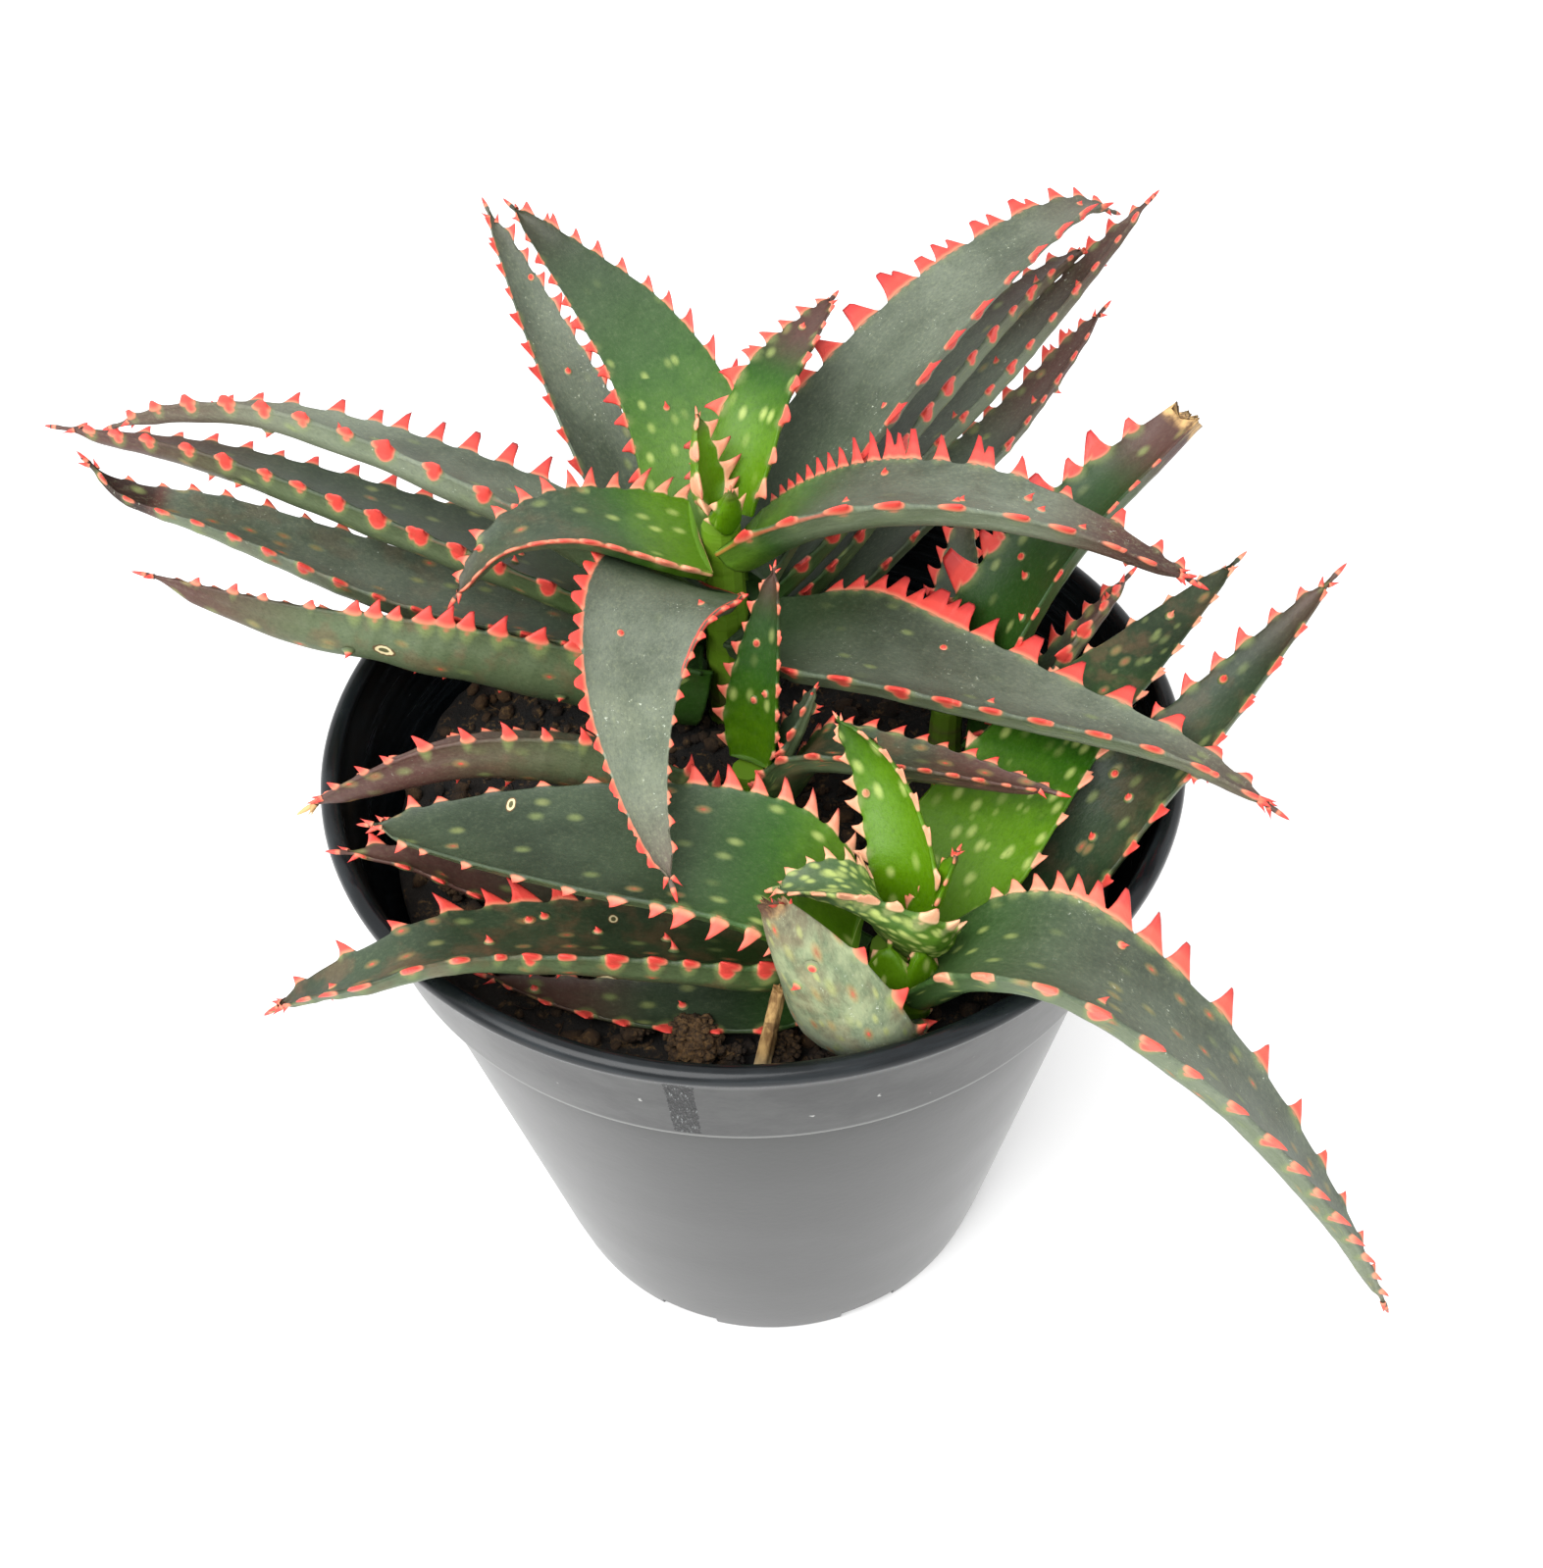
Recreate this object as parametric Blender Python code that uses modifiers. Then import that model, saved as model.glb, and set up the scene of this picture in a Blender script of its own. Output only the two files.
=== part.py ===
"""A potted aloe: rosettes of thick toothed leaves standing in a black nursery pot.

The model is in metres with +Z up. Its origin is the middle of the pot's underside.
Every leaf, every stem, the soil and the pot are solids of their own.
"""
import math
import random

import bmesh
import bpy
import numpy as np
from mathutils import Matrix, Vector

MM = 0.001

# Pot, in millimetres: a six inch round nursery pot
POT_HEIGHT = 140.0
RIM_RADIUS = 76.0
BAND_HEIGHT = 24.0
BAND_FOOT_RADIUS = 71.3
BODY_TOP_RADIUS = 69.3
BASE_RADIUS = 52.0
POT_WALL = 1.5
POT_FLOOR = 2.0
FOOT_BEVEL = 1.5
LIP_RADIUS = 1.7
STEP_UNDER_LIP = 1.0
BAND_EASE = 3.0
LIP_START = -60
LIP_END = 210
LIP_STEP = 45
POT_SIDES = 56
NOTCH_COUNT = 8
NOTCH_WIDTH = 13.0
NOTCH_HEIGHT = 3.5
NOTCH_DEPTH = 7.0

# Soil, in millimetres
SOIL_LEVEL = 120.0
SOIL_LUMP = 1.0
SOIL_GRAIN = 0.5
SOIL_EDGE_DROP = 2.0
SOIL_SHOULDER = 1.0
SOIL_SIDES = 56
SOIL_RINGS = 5
FIT_GAP = 0.3

# Stems, in millimetres
STEM_SIDES = 12
STEM_DEPTH_IN_SOIL = 9.0
STEM_HOLE_CLEARANCE = 0.4
STEM_TAPER = 0.7
HOLE_ABOVE_SOIL = 6.0

# Dry stub of a flower stalk, in millimetres
STALK_TOP = (3.0, -59.0, 138.0)
STALK_FOOT = (-1.5, -64.0, 117.0)
STALK_RADIUS = 1.4
STALK_TAPER = 0.75
STALK_SIDES = 8

# Teeth along the leaf margins, in millimetres
TOOTH_BASE = 3.3
TOOTH_HEIGHT = 3.0
TOOTH_LEAN = 0.35
TOOTH_LIFT = 0.3
SMALLEST_TOOTH = 0.45
FIRST_TOOTH = 0.10
LAST_TOOTH = 0.955
LAST_TOOTH_BY_A_CUT = 0.90

# The blade of a leaf, in millimetres and as shares of its length, depth or width
MARGIN_THICKNESS = 1.1
TIP_THICKNESS = 0.7
TIP_HALF_WIDTH = 0.5
TIP_POINT = 0.6
TIP_START = 0.985
SWELL_END = 0.22
KEEL_FALL = 0.7
KEEL_SHARE = 0.85
KEEL_HALF_WIDTH = 0.5

# Gap that a dented leaf keeps from the neighbour that presses on it, in millimetres
LEAF_CLEARANCE = 0.6

LEAF_COLOUR = (0.055, 0.105, 0.060)
YOUNG_COLOUR = (0.130, 0.300, 0.045)
STEM_COLOUR = (0.180, 0.300, 0.080)
POT_COLOUR = (0.020, 0.021, 0.023)
SOIL_COLOUR = (0.030, 0.020, 0.014)
STRAW_COLOUR = (0.520, 0.380, 0.180)


class Rosette:
    """A stem that stands in the soil at a place in plan, with its leaves round it."""

    def __init__(self, x, y, radius, top):
        self.x = x
        self.y = y
        self.radius = radius
        self.top = top


ROSETTES = {
    "main": Rosette(-4.0, 22.0, 5.0, 165.0),
    "front": Rosette(21.0, -50.0, 5.0, 135.5),
    "middle": Rosette(-1.0, -10.0, 4.0, 136.0),
    "side": Rosette(36.0, 6.0, 4.0, 134.0),
}


class Leaf:
    """One leaf, given in the upright plane that its heading points along.

    heading and sweep are degrees round the rosette's axis: the leaf sets out at
    heading and has turned by sweep at its furthest reach. Each point of the profile
    is a reach from the axis and a height above the table, in millimetres, and may
    add a step to the left. width is from margin to margin, depth from the margins
    down to the keel, and hollow the share of the depth that the upper face sinks.
    roll lifts the left margin, in degrees, at the base and at the tip. clears names
    the neighbours that press a dent into this leaf near its base.
    """

    def __init__(self, name, heading, sweep, profile, width, depth, roll=(0, 0),
                 taper=2.0, base=0.72, hollow=0.22, pitch=7.0, tooth=1.0, cut=False,
                 clears=()):
        self.name = name
        self.rosette = name.split("_")[0]
        self.heading = heading
        self.sweep = sweep
        self.profile = profile
        self.width = width
        self.depth = depth
        self.roll = roll
        self.taper = taper
        self.base = base
        self.hollow = hollow
        self.pitch = pitch
        self.tooth = tooth
        self.cut = cut
        self.clears = clears


LEAVES = [
    Leaf("main_leaf_01", 172, 0, ((5, 150), (18, 160), (41, 173), (74, 185), (92, 185), (108, 180)),
         21, 7, roll=(12, 36), clears=("main_leaf_06", "main_leaf_13", "main_leaf_14")),
    Leaf("main_leaf_02", 170, 0, ((5, 143), (23, 151), (51, 161), (92, 174), (122, 177)),
         20, 8, roll=(8, 32), clears=("main_leaf_05",)),
    Leaf("main_leaf_03", 176, 0, ((5, 135), (26, 143), (57, 152), (89, 167), (106, 173), (110, 179)),
         18, 7, roll=(5, 5), clears=("main_leaf_05",)),
    Leaf("main_leaf_04", 185, 0, ((5, 131), (25, 138), (51, 148), (77, 156), (100, 166)),
         18, 12, roll=(38, 40), hollow=0.5, clears=("main_leaf_03",)),
    Leaf("main_leaf_05", 124, -3, ((5, 137), (20, 144), (37, 155), (62, 172), (88, 190)),
         16, 5, base=0.4),
    Leaf("main_leaf_06", 95, 22, ((6, 147), (14, 155), (27, 166), (50, 174), (80, 182), (92, 187)),
         23, 5.5, roll=(-5, -10), base=0.4, clears=("main_leaf_08",)),
    Leaf("main_leaf_07", 60, 0, ((3, 166.2), (9, 176), (20, 184), (44, 187)),
         12, 4, pitch=6.0),
    Leaf("main_leaf_08", 40, 0, ((5, 153), (14, 164), (27, 174), (57, 188), (91, 193), (104, 187)),
         22, 6, roll=(0, 10), base=0.6),
    Leaf("main_leaf_09", 43, -2, ((5, 146), (40, 165), (70, 177), (88, 181), (100, 181)),
         18, 7, roll=(-10, -25), base=0.5, clears=("main_leaf_06",)),
    Leaf("main_leaf_10", 47, -9, ((5, 138), (40, 155), (70, 166), (110, 190)),
         17, 7, roll=(-10, -25), base=0.5, clears=("main_leaf_09",)),
    Leaf("main_leaf_11", 36, 4, ((5, 133), (40, 145), (72, 153), (105, 167)),
         16, 6, roll=(-5, -10), base=0.5, clears=("main_leaf_10",)),
    Leaf("main_leaf_12", -20, 0, ((3.6, 164), (12, 171), (26, 178), (45, 181), (63, 178), (82, 170)),
         24, 7, roll=(-12, -15), base=0.75),
    Leaf("main_leaf_13", 196, 4, ((4, 163), (15, 169), (27, 174), (39, 173), (48, 164)),
         20, 5, roll=(-8, 0), base=0.9, taper=1.4, pitch=6.0),
    Leaf("main_leaf_14", -126, 30, ((5, 155), (15, 164), (28, 168), (45, 166), (62, 160.5), (75, 154.5)),
         30, 5, roll=(0, 5), base=0.45, taper=1.2, clears=("main_leaf_13",)),
    Leaf("main_leaf_15", -35, 0, ((5, 145), (25, 151), (45, 153), (61, 154), (89, 155), (105, 150)),
         31, 6.5, roll=(0, -25), base=0.5, taper=1.4,
         clears=("main_leaf_09", "side_leaf_01")),
    Leaf("main_leaf_16", 150, -30, ((1.5, 168.3), (3, 176), (6, 184)),
         7, 2.5, base=0.4, pitch=4.5),
    Leaf("main_leaf_17", 290, 0, ((2, 166.5), (4, 171), (6, 176)),
         5, 2.5, base=0.5, pitch=4.5, tooth=0.6),
    Leaf("main_leaf_18", 85, 0, ((5, 129), (20, 133), (35, 139), (55, 146), (72, 151)),
         15, 4.5, base=0.45, clears=("main_leaf_11",)),
    Leaf("main_leaf_19", 142, 0, ((6, 125), (20, 128), (35, 135), (52, 144), (68, 149)),
         14, 3.5, base=0.4, clears=("main_leaf_04",)),
    Leaf("front_leaf_01", 54, -9, ((5, 130), (18, 138), (50, 148), (69, 150), (95, 157)),
         24, 5.5, base=0.5, taper=1.5, clears=("front_leaf_03", "main_leaf_15")),
    Leaf("front_leaf_02", 31, 0, ((5, 126.5), (24, 129), (46, 144), (60, 151.5), (87, 171)),
         23, 6, base=0.6, taper=1.3, clears=("front_leaf_01",)),
    Leaf("front_leaf_03", -25, 0, ((5, 134), (14, 145), (26, 149), (51, 135), (77, 103), (89, 81)),
         22, 7, roll=(-8, -30)),
    Leaf("front_leaf_04", 167, 0, ((5, 139), (14, 149), (26, 153), (58, 152), (85, 148)),
         25, 6.5, base=0.8, taper=3.0),
    Leaf("front_leaf_05", 172, 13,
         ((5, 134), (32, 138), (47, 141), (60, 143), (71, 147, 3), (79, 146, 4), (88, 141, 1), (97, 134, -2)),
         21, 7.5, roll=(16, 8), base=0.45, clears=("front_leaf_04",)),
    Leaf("front_leaf_06", 150, 19, ((6, 128, -2), (20, 128, -4), (40, 129), (59, 131), (70, 135), (80, 141), (90, 144)),
         15, 3.5, base=0.45, clears=("front_leaf_05",)),
    Leaf("front_leaf_07", 190, -14, ((8, 125), (33, 125), (48, 125), (66, 126)),
         12, 3, base=0.45, clears=("front_leaf_10",)),
    Leaf("front_leaf_08", 60, 50, ((4, 139), (6, 148), (16, 158), (22, 166)),
         10.5, 3.5, base=0.8, taper=2.5, pitch=5.0),
    Leaf("front_leaf_09", 180, 0, ((-5, 139, -1), (-1, 147, 1), (6, 153, 1), (13, 154, 1), (18, 151, 0)),
         14, 6, roll=(65, -10), base=0.8, pitch=5.0),
    Leaf("front_leaf_10", -115, 0, ((5, 126, -1), (12, 133, -1), (15, 147, -5), (15, 158, -13)),
         17, 7, taper=6.0, base=0.6, cut=True, clears=("front_leaf_04", "front_leaf_05")),
    Leaf("middle_leaf_01", 60, 0, ((1, 137), (3, 150), (8, 163), (12, 172)),
         10, 3.5, pitch=5.0),
    Leaf("middle_leaf_02", 190, 1, ((3.6, 130), (25, 148), (48, 154), (64, 150), (74, 145)),
         15, 10, roll=(35, 40), hollow=0.5),
    Leaf("middle_leaf_03", -29, 5, ((4, 133), (12, 147), (30, 151), (54, 150)),
         14, 5.5, roll=(-15, -15), pitch=5.0, clears=("middle_leaf_04",)),
    Leaf("middle_leaf_04", -8, 0, ((4, 138), (9, 149), (12, 156)),
         8, 3, pitch=4.5, clears=("middle_leaf_01",)),
    Leaf("side_leaf_01", 27, 0, ((2, 135), (5, 147), (12, 158), (22, 168), (45, 181)),
         20, 8, taper=4.0, cut=True),
    Leaf("side_leaf_02", -25, 40, ((4, 128), (14, 140), (23, 151), (33, 156)),
         12, 4, pitch=5.0, clears=("front_leaf_01", "side_leaf_01")),
    Leaf("side_leaf_03", 80, 0, ((5, 128), (18, 134), (34, 141), (46, 146)),
         12, 4, base=0.5, pitch=5.0),
]


def smooth_route(points, per_span=12):
    """Points along a centripetal Catmull-Rom curve through the hand-chosen ones."""
    knots = np.array(points, float)
    before = 2 * knots[0] - knots[1]
    after = 2 * knots[-1] - knots[-2]
    knots = np.vstack([before, knots, after])
    route = []
    for first in range(len(knots) - 3):
        p0, p1, p2, p3 = knots[first:first + 4]
        t1 = np.linalg.norm(p1 - p0) ** 0.5
        t2 = t1 + np.linalg.norm(p2 - p1) ** 0.5
        t3 = t2 + np.linalg.norm(p3 - p2) ** 0.5
        for step in range(per_span):
            t = t1 + (t2 - t1) * step / per_span
            a1 = p0 + (p1 - p0) * t / t1
            a2 = p1 + (p2 - p1) * (t - t1) / (t2 - t1)
            a3 = p2 + (p3 - p2) * (t - t2) / (t3 - t2)
            b1 = a1 + (a2 - a1) * t / t2
            b2 = a2 + (a3 - a2) * (t - t1) / (t3 - t1)
            route.append(b1 + (b2 - b1) * (t - t1) / (t2 - t1))
    route.append(knots[-2])
    return np.array(route)


def leaf_route(leaf):
    """The leaf's midrib as points in millimetres."""
    rosette = ROSETTES[leaf.rosette]
    furthest = max(point[0] for point in leaf.profile)
    points = []
    for reach, height, *step in leaf.profile:
        aside = step[0] if step else 0.0
        angle = math.radians(leaf.heading + leaf.sweep * reach / furthest)
        x = rosette.x + reach * math.cos(angle) - aside * math.sin(angle)
        y = rosette.y + reach * math.sin(angle) + aside * math.cos(angle)
        points.append((x, y, height))
    return smooth_route(points)


def blade_frames(route, heading):
    """Distance, tangent, leftward and upward directions at each point of a route."""
    steps = np.linalg.norm(np.diff(route, axis=0), axis=1)
    distance = np.concatenate([[0.0], np.cumsum(steps)])
    tangent = np.gradient(route, distance, axis=0)
    tangent /= np.linalg.norm(tangent, axis=1)[:, None]
    angle = math.radians(heading)
    left = np.array([-math.sin(angle), math.cos(angle), 0.0])
    lefts = []
    for direction in tangent:
        left = left - direction * (left @ direction)
        left /= np.linalg.norm(left)
        lefts.append(left)
    lefts = np.array(lefts)
    return distance, tangent, lefts, np.cross(tangent, lefts)


class Blade:
    """Reads a leaf's place and size at any share of its length, 0 at the base."""

    def __init__(self, leaf):
        self.leaf = leaf
        self.route = leaf_route(leaf)
        frames = blade_frames(self.route, leaf.heading)
        self.distance, self.tangent, self.left, self.up = frames
        self.length = self.distance[-1]

    def read(self, share):
        """Point, tangent, left and up at a share of the length, with the roll applied."""
        at = share * self.length
        row = []
        for track in (self.route, self.tangent, self.left, self.up):
            row.append(np.array([np.interp(at, self.distance, track[:, k]) for k in range(3)]))
        point, tangent, left, up = row
        roll = math.radians(self.leaf.roll[0] + (self.leaf.roll[1] - self.leaf.roll[0]) * share)
        turned_left = left * math.cos(roll) + up * math.sin(roll)
        turned_up = up * math.cos(roll) - left * math.sin(roll)
        return point, tangent, turned_left, turned_up

    def half_width(self, share):
        """Half the width: a clasping base, then a long taper to the tip."""
        swell = min(share / SWELL_END, 1.0)
        swell = self.leaf.base + (1 - self.leaf.base) * swell * swell * (3 - 2 * swell)
        return 0.5 * self.leaf.width * swell * (1 - share ** self.leaf.taper)

    def depth(self, share):
        """Depth from the margins to the keel."""
        fall = (1 - share ** max(self.leaf.taper, 2.0)) ** KEEL_FALL
        return max(self.leaf.depth * fall, 1.5 * TIP_THICKNESS)


def leaf_section(blade, share, grow):
    """Seven points round the blade at a share of its length, swollen by grow."""
    point, tangent, left, up = blade.read(share)
    half = blade.half_width(share) + TIP_HALF_WIDTH + grow
    depth = blade.depth(share)
    edge = 0.5 * (MARGIN_THICKNESS + (TIP_THICKNESS - MARGIN_THICKNESS) * share) + grow
    hollow = blade.leaf.hollow * depth - grow
    keel = KEEL_SHARE * depth + grow
    ring = [
        (half, edge),
        (0.0, -hollow),
        (-half, edge),
        (-half, -edge),
        (-KEEL_HALF_WIDTH * half, -keel),
        (KEEL_HALF_WIDTH * half, -keel),
        (half, -edge),
    ]
    return [point + left * across + up * raised for across, raised in ring]


def tooth_stations(blade, grow):
    """Shares of the length where teeth begin and end, and each tooth's size."""
    leaf = blade.leaf
    first = FIRST_TOOTH * blade.length
    last = (LAST_TOOTH_BY_A_CUT if leaf.cut else LAST_TOOTH) * blade.length
    count = max(3, round((last - first) / leaf.pitch))
    teeth = []
    for index in range(count + 1):
        middle = first + (last - first) * index / count
        share = middle / blade.length
        fullness = blade.half_width(share) * 2 / leaf.width
        size = leaf.tooth * (SMALLEST_TOOTH + (1 - SMALLEST_TOOTH) * fullness)
        half_base = min(0.5 * TOOTH_BASE * size + grow, 0.48 * (last - first) / count)
        teeth.append(((middle - half_base) / blade.length, (middle + half_base) / blade.length, size))
    return teeth


def leaf_mesh(leaf, grow=0.0):
    """The leaf as one closed loft whose margins carry a row of hooked teeth.

    grow swells it all round, to make the room that it needs in a neighbour.
    """
    blade = Blade(leaf)
    teeth = tooth_stations(blade, grow)
    shares = [-grow / blade.length]
    for start, end, size in teeth:
        shares += [start, end]
    end_share = 1.0 + grow / blade.length if leaf.cut else TIP_START
    shares.append(end_share)
    work = bmesh.new()
    rings = []
    for share in shares:
        clipped = min(max(share, 0.0), TIP_START)
        ring = leaf_section(blade, clipped, grow)
        if share < 0 or share > clipped:
            shift = blade.read(clipped)[1] * (share - clipped) * blade.length
            ring = [corner + shift for corner in ring]
        rings.append([work.verts.new(Vector(corner) * MM) for corner in ring])
    last = len(rings) - 1
    for index in range(last):
        near, far = rings[index], rings[index + 1]
        toothed = index % 2 == 1    # the cells run gap, tooth, gap, tooth, ... gap
        for side in range(7):
            following = (side + 1) % 7
            corners = (near[side], far[side], far[following], near[following])
            if toothed and side in (2, 6):
                raise_tooth(work, blade, teeth[index // 2], side == 6, corners, grow)
            else:
                work.faces.new((corners[0], corners[1], corners[2]))
                work.faces.new((corners[0], corners[2], corners[3]))
    close_end(work, rings[0], None)
    apex = None
    if not leaf.cut:
        point, tangent = blade.read(1.0)[:2]
        apex = work.verts.new(Vector(point + tangent * (TIP_POINT + 2 * grow)) * MM)
    close_end(work, rings[-1][::-1], apex)
    bmesh.ops.recalc_face_normals(work, faces=work.faces)
    mesh = bpy.data.meshes.new(leaf.name)
    work.to_mesh(mesh)
    work.free()
    return mesh


def raise_tooth(work, blade, tooth, on_left, corners, grow):
    """A hooked pyramid on one cell of the margin."""
    start, end, size = tooth
    middle = 0.5 * (start + end)
    point, tangent, left, up = blade.read(middle)
    outward = left if on_left else -left
    reach = blade.half_width(middle) + TIP_HALF_WIDTH + TOOTH_HEIGHT * size + 2 * grow
    lean = TOOTH_LEAN * TOOTH_BASE * size
    apex = point + outward * reach + tangent * lean + up * TOOTH_LIFT
    peak = work.verts.new(Vector(apex) * MM)
    for one, two in zip(corners, corners[1:] + corners[:1]):
        work.faces.new((one, two, peak))


def close_end(work, ring, apex):
    """Closes a ring of corners on a point, or with flat triangles across it."""
    if apex is not None:
        for index, corner in enumerate(ring):
            work.faces.new((corner, ring[(index + 1) % 7], apex))
        return
    for one, two, three in ((0, 1, 6), (1, 5, 6), (1, 4, 5), (1, 3, 4), (1, 2, 3)):
        work.faces.new((ring[one], ring[two], ring[three]))


def clear_scene():
    """Removes whatever the scene holds."""
    for old in list(bpy.data.objects):
        bpy.data.objects.remove(old, do_unlink=True)


def new_collection(name):
    """A collection linked to the scene."""
    group = bpy.data.collections.new(name)
    bpy.context.scene.collection.children.link(group)
    return group


def new_material(name, colour, roughness):
    """A Principled material of one colour."""
    material = bpy.data.materials.new(name)
    material.use_nodes = True
    shader = material.node_tree.nodes["Principled BSDF"]
    shader.inputs["Base Color"].default_value = (*colour, 1.0)
    shader.inputs["Roughness"].default_value = roughness
    material.diffuse_color = (*colour, 1.0)
    return material


def add_object(name, mesh, group, material):
    """An object with one mesh and one material, in a collection."""
    item = bpy.data.objects.new(name, mesh)
    group.objects.link(item)
    if material is not None:
        item.data.materials.append(material)
    return item


def mark_cutter(item):
    """Keeps a cutting solid out of the finished model."""
    item.hide_render = True
    item.display_type = "WIRE"


def cut_with(item, cutter, name):
    """Takes a cutter's volume out of an object."""
    cut = item.modifiers.new(name, "BOOLEAN")
    cut.operation = "DIFFERENCE"
    cut.object = cutter


def profile_mesh(name, points, closed):
    """A line of points (radius, height) in the XZ plane, in millimetres."""
    mesh = bpy.data.meshes.new(name)
    edges = [(i, i + 1) for i in range(len(points) - 1)]
    if closed:
        edges.append((len(points) - 1, 0))
    mesh.from_pydata([(r * MM, 0.0, z * MM) for r, z in points], edges, [])
    return mesh


def turn(item, sides):
    """Turns a profile round the Z axis."""
    screw = item.modifiers.new("Turned", "SCREW")
    screw.axis = "Z"
    screw.angle = math.tau
    screw.steps = sides
    screw.render_steps = sides
    screw.use_merge_vertices = True
    screw.merge_threshold = 0.00001


def body_radius(height):
    """Outer radius of the pot's tapered body at a height."""
    return BASE_RADIUS + (BODY_TOP_RADIUS - BASE_RADIUS) * height / (POT_HEIGHT - BAND_HEIGHT)


def pot_profile():
    """The pot's section from the middle of the underside round to the middle of its floor."""
    band_foot = POT_HEIGHT - BAND_HEIGHT
    outside = [
        (0.0, 0.0),
        (BASE_RADIUS - FOOT_BEVEL, 0.0),
        (BASE_RADIUS, FOOT_BEVEL),
        (body_radius(band_foot - FOOT_BEVEL), band_foot - FOOT_BEVEL),
        (BAND_FOOT_RADIUS, band_foot),
        (RIM_RADIUS - LIP_RADIUS, POT_HEIGHT - 2 * LIP_RADIUS - STEP_UNDER_LIP),
    ]
    lip = []
    for angle in range(LIP_START, LIP_END + 1, LIP_STEP):
        turn_by = math.radians(angle)
        across = RIM_RADIUS - LIP_RADIUS + LIP_RADIUS * math.cos(turn_by)
        lip.append((across, POT_HEIGHT - LIP_RADIUS + LIP_RADIUS * math.sin(turn_by)))
    inside = [
        (RIM_RADIUS - 2 * LIP_RADIUS - STEP_UNDER_LIP, POT_HEIGHT - 3 * LIP_RADIUS),
        (BAND_FOOT_RADIUS - POT_WALL, band_foot),
        (inner_radius(band_foot - BAND_EASE), band_foot - BAND_EASE),
        (inner_radius(POT_FLOOR), POT_FLOOR),
        (0.0, POT_FLOOR),
    ]
    return (outside + lip + inside)[::-1]


def inner_radius(height):
    """Radius of the pot's inside below its band."""
    return body_radius(height) - POT_WALL


def make_pot(group, cutters, material):
    """The turned pot, with notches round the foot that let water out."""
    pot = add_object("pot", profile_mesh("pot", pot_profile(), False), group, material)
    turn(pot, POT_SIDES)
    work = bmesh.new()
    for index in range(NOTCH_COUNT):
        angle = math.tau * (index + 0.5) / NOTCH_COUNT
        box = bmesh.ops.create_cube(work, size=MM)
        bmesh.ops.scale(work, vec=(2 * NOTCH_DEPTH, NOTCH_WIDTH, 2 * NOTCH_HEIGHT), verts=box["verts"])
        bmesh.ops.translate(work, vec=(BASE_RADIUS * MM, 0, 0), verts=box["verts"])
        bmesh.ops.rotate(work, cent=(0, 0, 0), matrix=Matrix.Rotation(angle, 3, "Z"), verts=box["verts"])
    mesh = bpy.data.meshes.new("foot_notches")
    work.to_mesh(mesh)
    work.free()
    notches = add_object("foot_notches", mesh, cutters, None)
    mark_cutter(notches)
    cut_with(pot, notches, "Foot notches")
    return pot


def soil_height(x, y):
    """The soil's lumpy surface, in millimetres."""
    wave = math.sin(0.31 * x + 0.7) * math.cos(0.27 * y - 0.4)
    wave += 0.7 * math.sin(0.53 * y + 0.19 * x) * math.cos(0.47 * x - 1.1)
    return SOIL_LEVEL + SOIL_LUMP * wave


def make_soil(group, cutters, material):
    """Soil that fills the pot, with a hole for each stem."""
    levels = [POT_FLOOR + FIT_GAP, POT_HEIGHT - BAND_HEIGHT - BAND_EASE]
    draw = random.Random(7)
    work = bmesh.new()
    rings = []
    for level in levels:
        reach = inner_radius(level) - FIT_GAP
        rings.append([soil_corner(work, reach, side, level) for side in range(SOIL_SIDES)])
    edge = inner_radius(levels[1]) - FIT_GAP
    rings.append([soil_corner(work, edge, side, SOIL_LEVEL - SOIL_EDGE_DROP) for side in range(SOIL_SIDES)])
    for index in range(SOIL_RINGS):
        reach = (edge - SOIL_SHOULDER) * (1 - index / SOIL_RINGS)
        ring = []
        for side in range(SOIL_SIDES):
            angle = math.tau * side / SOIL_SIDES
            height = soil_height(reach * math.cos(angle), reach * math.sin(angle))
            ring.append(soil_corner(work, reach, side, height + draw.uniform(-SOIL_GRAIN, SOIL_GRAIN)))
        rings.append(ring)
    for near, far in zip(rings, rings[1:]):
        for side in range(SOIL_SIDES):
            following = (side + 1) % SOIL_SIDES
            work.faces.new((near[side], near[following], far[following]))
            work.faces.new((near[side], far[following], far[side]))
    work.faces.new(rings[0][::-1])
    middle = work.verts.new((0, 0, soil_height(0, 0) * MM))
    for side in range(SOIL_SIDES):
        work.faces.new((rings[-1][side], rings[-1][(side + 1) % SOIL_SIDES], middle))
    bmesh.ops.recalc_face_normals(work, faces=work.faces)
    mesh = bpy.data.meshes.new("soil")
    work.to_mesh(mesh)
    work.free()
    soil = add_object("soil", mesh, group, material)
    holes = bmesh.new()
    for rosette in ROSETTES.values():
        depth = STEM_DEPTH_IN_SOIL + HOLE_ABOVE_SOIL
        made = bmesh.ops.create_cone(
            holes, cap_ends=True, segments=STEM_SIDES, depth=2 * depth * MM,
            radius1=(rosette.radius + STEM_HOLE_CLEARANCE) * MM,
            radius2=(rosette.radius + STEM_HOLE_CLEARANCE) * MM)
        place = Vector((rosette.x, rosette.y, SOIL_LEVEL - STEM_DEPTH_IN_SOIL - FIT_GAP + depth)) * MM
        bmesh.ops.translate(holes, vec=place, verts=made["verts"])
    mesh = bpy.data.meshes.new("stem_holes")
    holes.to_mesh(mesh)
    holes.free()
    cutter = add_object("stem_holes", mesh, cutters, None)
    mark_cutter(cutter)
    cut_with(soil, cutter, "Stem holes")
    return soil


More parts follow.
